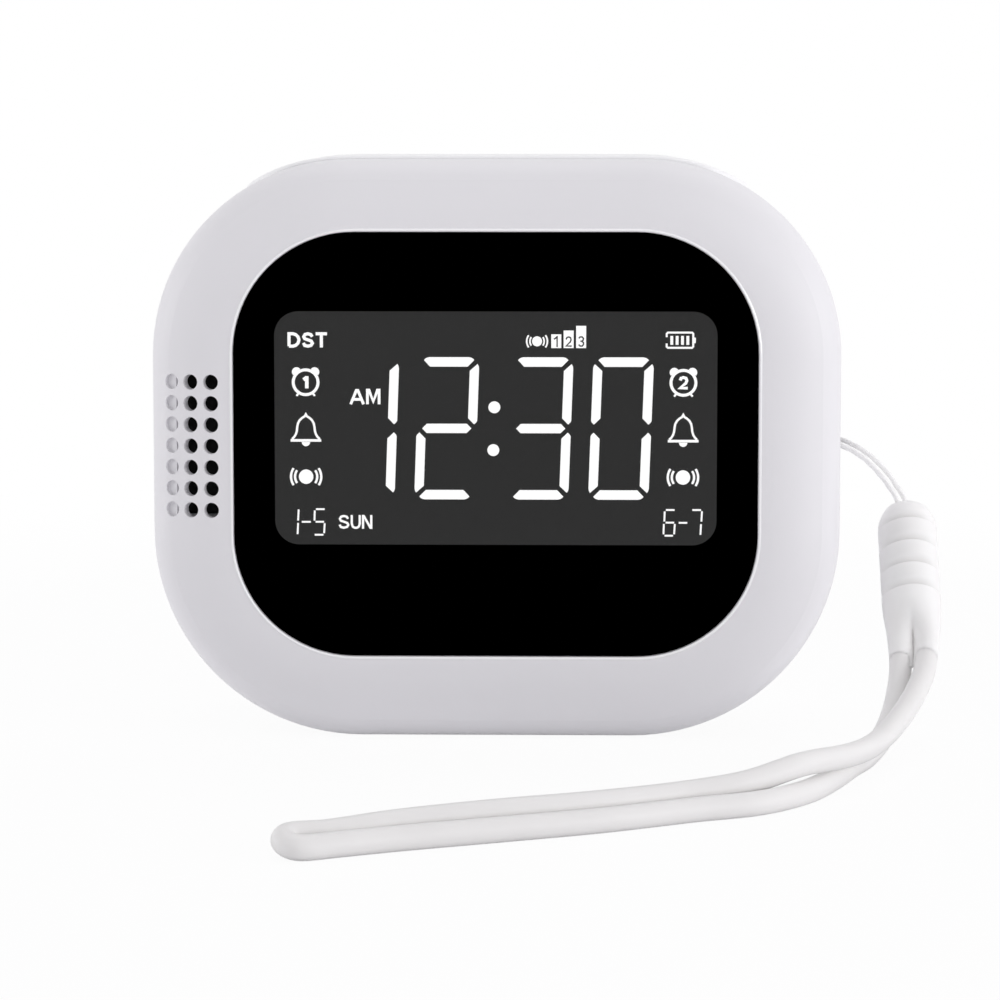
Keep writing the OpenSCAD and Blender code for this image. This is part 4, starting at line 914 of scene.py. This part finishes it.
edge_turns = [math.radians(90 * k / 6) for k in range(7)]
rings = [bar_ring(bar_wall, bar_skin), bar_ring(bar_wall, bar_skirt), bar_ring(0, bar_skirt)]
rings += [bar_ring(bar_edge * (1 - math.cos(t)), bar_edge * (1 - math.sin(t))) for t in edge_turns]
points, faces = loft(rings)
faces = faces[2:]
n = len(rings[0])
top = len(points) - n
for k in range(n // 2 - 1):
    faces.append((top + k, top + k + 1, top + n - 2 - k, top + n - 1 - k))
    faces.append((n - 1 - k, n - 2 - k, k + 1, k))
stop_half = 15.0
stop_reach = 1.1
stop_low = 69.05
stop_high = 70.25
for y in (bar_y - bar_depth / 2, bar_y + bar_depth / 2):
    corners = [(-stop_half, y - stop_reach), (stop_half, y - stop_reach),
               (stop_half, y + stop_reach), (-stop_half, y + stop_reach)]
    stop = loft([[Vector((cx, cy, z)) * mm for cx, cy in corners] for z in (stop_low, stop_high)])
    faces += [tuple(v + len(points) for v in f) for f in stop[1]]
    points += stop[0]
pin_low, pin_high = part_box("snooze_plunger")
pin_y = (pin_low[1] + pin_high[1]) / 2
post_r = 1.5
post = loft([[Vector((x * mm, pin_y + y * mm, z)) for x, y in around(24, lambda t: post_r)]
             for z in (pin_high[2], (bar_top - bar_skin / 2) * mm)])
faces += [tuple(v + len(points) for v in f) for f in post[1]]
points += post[0]
snooze_bar = mesh_piece("snooze_bar", points, faces, abs_satin, crease=35)
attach(snooze_bar, "snooze")
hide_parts("snooze_button")

# Setting buttons: five satin caps in the recess at the back. Each has a flange inside the shell, a rounded
# rim and a shallow dish for the finger tip, and pushes the plunger of its switch on the rear board.
cap_places = {"alarm_one": (16, 46.15), "time": (0, 46.15), "alarm_two": (-16, 46.15), "up": (8, 36.15),
              "down": (-8, 36.15)}
cap_r = 3.0
cap_edge = 0.45
cap_edge_y = 16.35
flange_r = 3.95
flange_in = 14.15
flange_out = 14.95
cap_dish = [(2.2, 16.74), (1.8, 16.64), (1.2, 16.54), (0.5, 16.49)]
cap_rim = [(cap_r - cap_edge * (1 - math.cos(t)), cap_edge_y + cap_edge * math.sin(t)) for t in edge_turns]
cap_profile = [(flange_r, flange_in), (flange_r, flange_out), (cap_r, flange_out)] + cap_rim + cap_dish
for body, (x, z) in cap_places.items():
    rings = [[Vector((x + a, y, z - b)) * mm for a, b in around(48, lambda t: r)] for r, y in cap_profile]
    cap = mesh_piece(body + "_cap", *loft(rings), abs_satin, crease=35)
    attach(cap, body)
    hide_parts(body + "_button")

# Slide switch: a black knob with three grip ridges across it, in a slot below the buttons. Three places:
# sound, shake or both.
knob_low, knob_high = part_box("mode_switch_knob")
ridge_h = 0.35 * mm
ridge_half = 0.28 * mm
ridge_step = 0.95 * mm
ridge_line = ((-1.0, 1.0), (-0.6, 0.1), (-0.3, 0.0), (0.3, 0.0), (0.6, 0.1), (1.0, 1.0))
knob_x = (knob_low[0] + knob_high[0]) / 2
knob_line = [(knob_low[0], knob_low[1]), (knob_low[0], knob_high[1] - ridge_h)]
for k in (-1, 0, 1):
    for side, sunk in ridge_line:
        knob_line.append((knob_x + k * ridge_step + side * ridge_half, knob_high[1] - sunk * ridge_h))
knob_line += [(knob_high[0], knob_high[1] - ridge_h), (knob_high[0], knob_low[1])]
rings = [[Vector((x, y, z)) for x, y in knob_line] for z in (knob_high[2], knob_low[2])]
knob = mesh_piece("slide_knob", *loft(rings), pbt_black, crease=35)
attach(knob, "mode_slide")
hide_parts("mode_switch_knob")

# Charging socket: a folded steel shell around a black contact tongue, soldered to the rear board.
dress(plated, "usb_shell")

# Speaker: a black basket with a pressed paper cone behind the grille and a ring magnet at its back. The
# cone is matt black, with a felt of short fibres.
fibre_mm = 0.5
paper_cone = patchy("paper_pressed_black", fibre_mm, 6.0, ("#101011", "#262627"), {"Roughness": 0.85},
                    relief=(0.4, 0.05))
dress(paper_cone, "speaker_cone")
dress(plated, "speaker_magnet")

# Battery: a flat pouch cell of laminated aluminium foil on a foam pad. The foil is satin silver with fine
# wrinkles.
wrinkle_mm = 2.0
foil = patchy("aluminium_foil_laminated", wrinkle_mm, 5.0, ("#B4B6BA", "#CBCDD0"),
              {"Metallic": 1.0, "Roughness": 0.34}, relief=(0.35, 0.1))
dress(foil, "battery_cell")

# Shaker motor: a small can motor in a moulded saddle, held by a spring clip. Its shaft carries an eccentric
# weight of pressed tungsten, which shakes the case. The weight is dull grey, with a fine metal grain.
dress(plated, "motor_can", "motor_clip", "motor_shaft")
grain_mm = 0.15
tungsten, tree, place = start_material("tungsten_sintered")
grains = add_node(tree, "ShaderNodeTexVoronoi", {"Scale": 1 / (grain_mm * mm)}, {"Vector": place})
tint = add_node(tree, "ShaderNodeMix", {"data_type": "RGBA", 6: linear("#6E6E70"), 7: linear("#8A8A8C")},
                {0: grains.outputs["Distance"]})
dull = add_node(tree, "ShaderNodeMapRange", {"To Min": 0.42, "To Max": 0.6},
                {"Value": grains.outputs["Distance"]})
skin = add_node(tree, "ShaderNodeBsdfPrincipled", {"Metallic": 1.0},
                {"Base Color": tint.outputs[2], "Roughness": dull.outputs[0]})
add_node(tree, "ShaderNodeOutputMaterial", (), {"Surface": skin.outputs[0]})
dress(tungsten, "eccentric_weight", "motor_armature", "motor_magnet")

# Sintered bronze: the bushing's warm metal, with the same fine grain.
bronze = patchy("bronze_sintered", grain_mm, 3.0, ("#A9803F", "#C79B58"), {"Metallic": 1.0, "Roughness": 0.4})
dress(bronze, "motor_bushing")

# Wires: fine stranded leads in smooth PVC, in pairs from the speaker, motor and battery to the boards, and a
# flat grey cable between the boards. The insulation is satin, with a slight change of shade along it.
run_mm = 4.0
satin = (0.38, 0.5)
red_pvc = patchy("pvc_extruded_red", run_mm, 2.0, ("#B3262A", "#9C1F24"), {"IOR": 1.53}, dullness=satin)
dress(red_pvc, "battery_leads", "motor_leads")
grey_pvc = patchy("pvc_extruded_grey", run_mm, 2.0, ("#8B8D90", "#77797C"), {"IOR": 1.53}, dullness=satin)
dress(grey_pvc, "ribbon_cable", "speaker_leads")
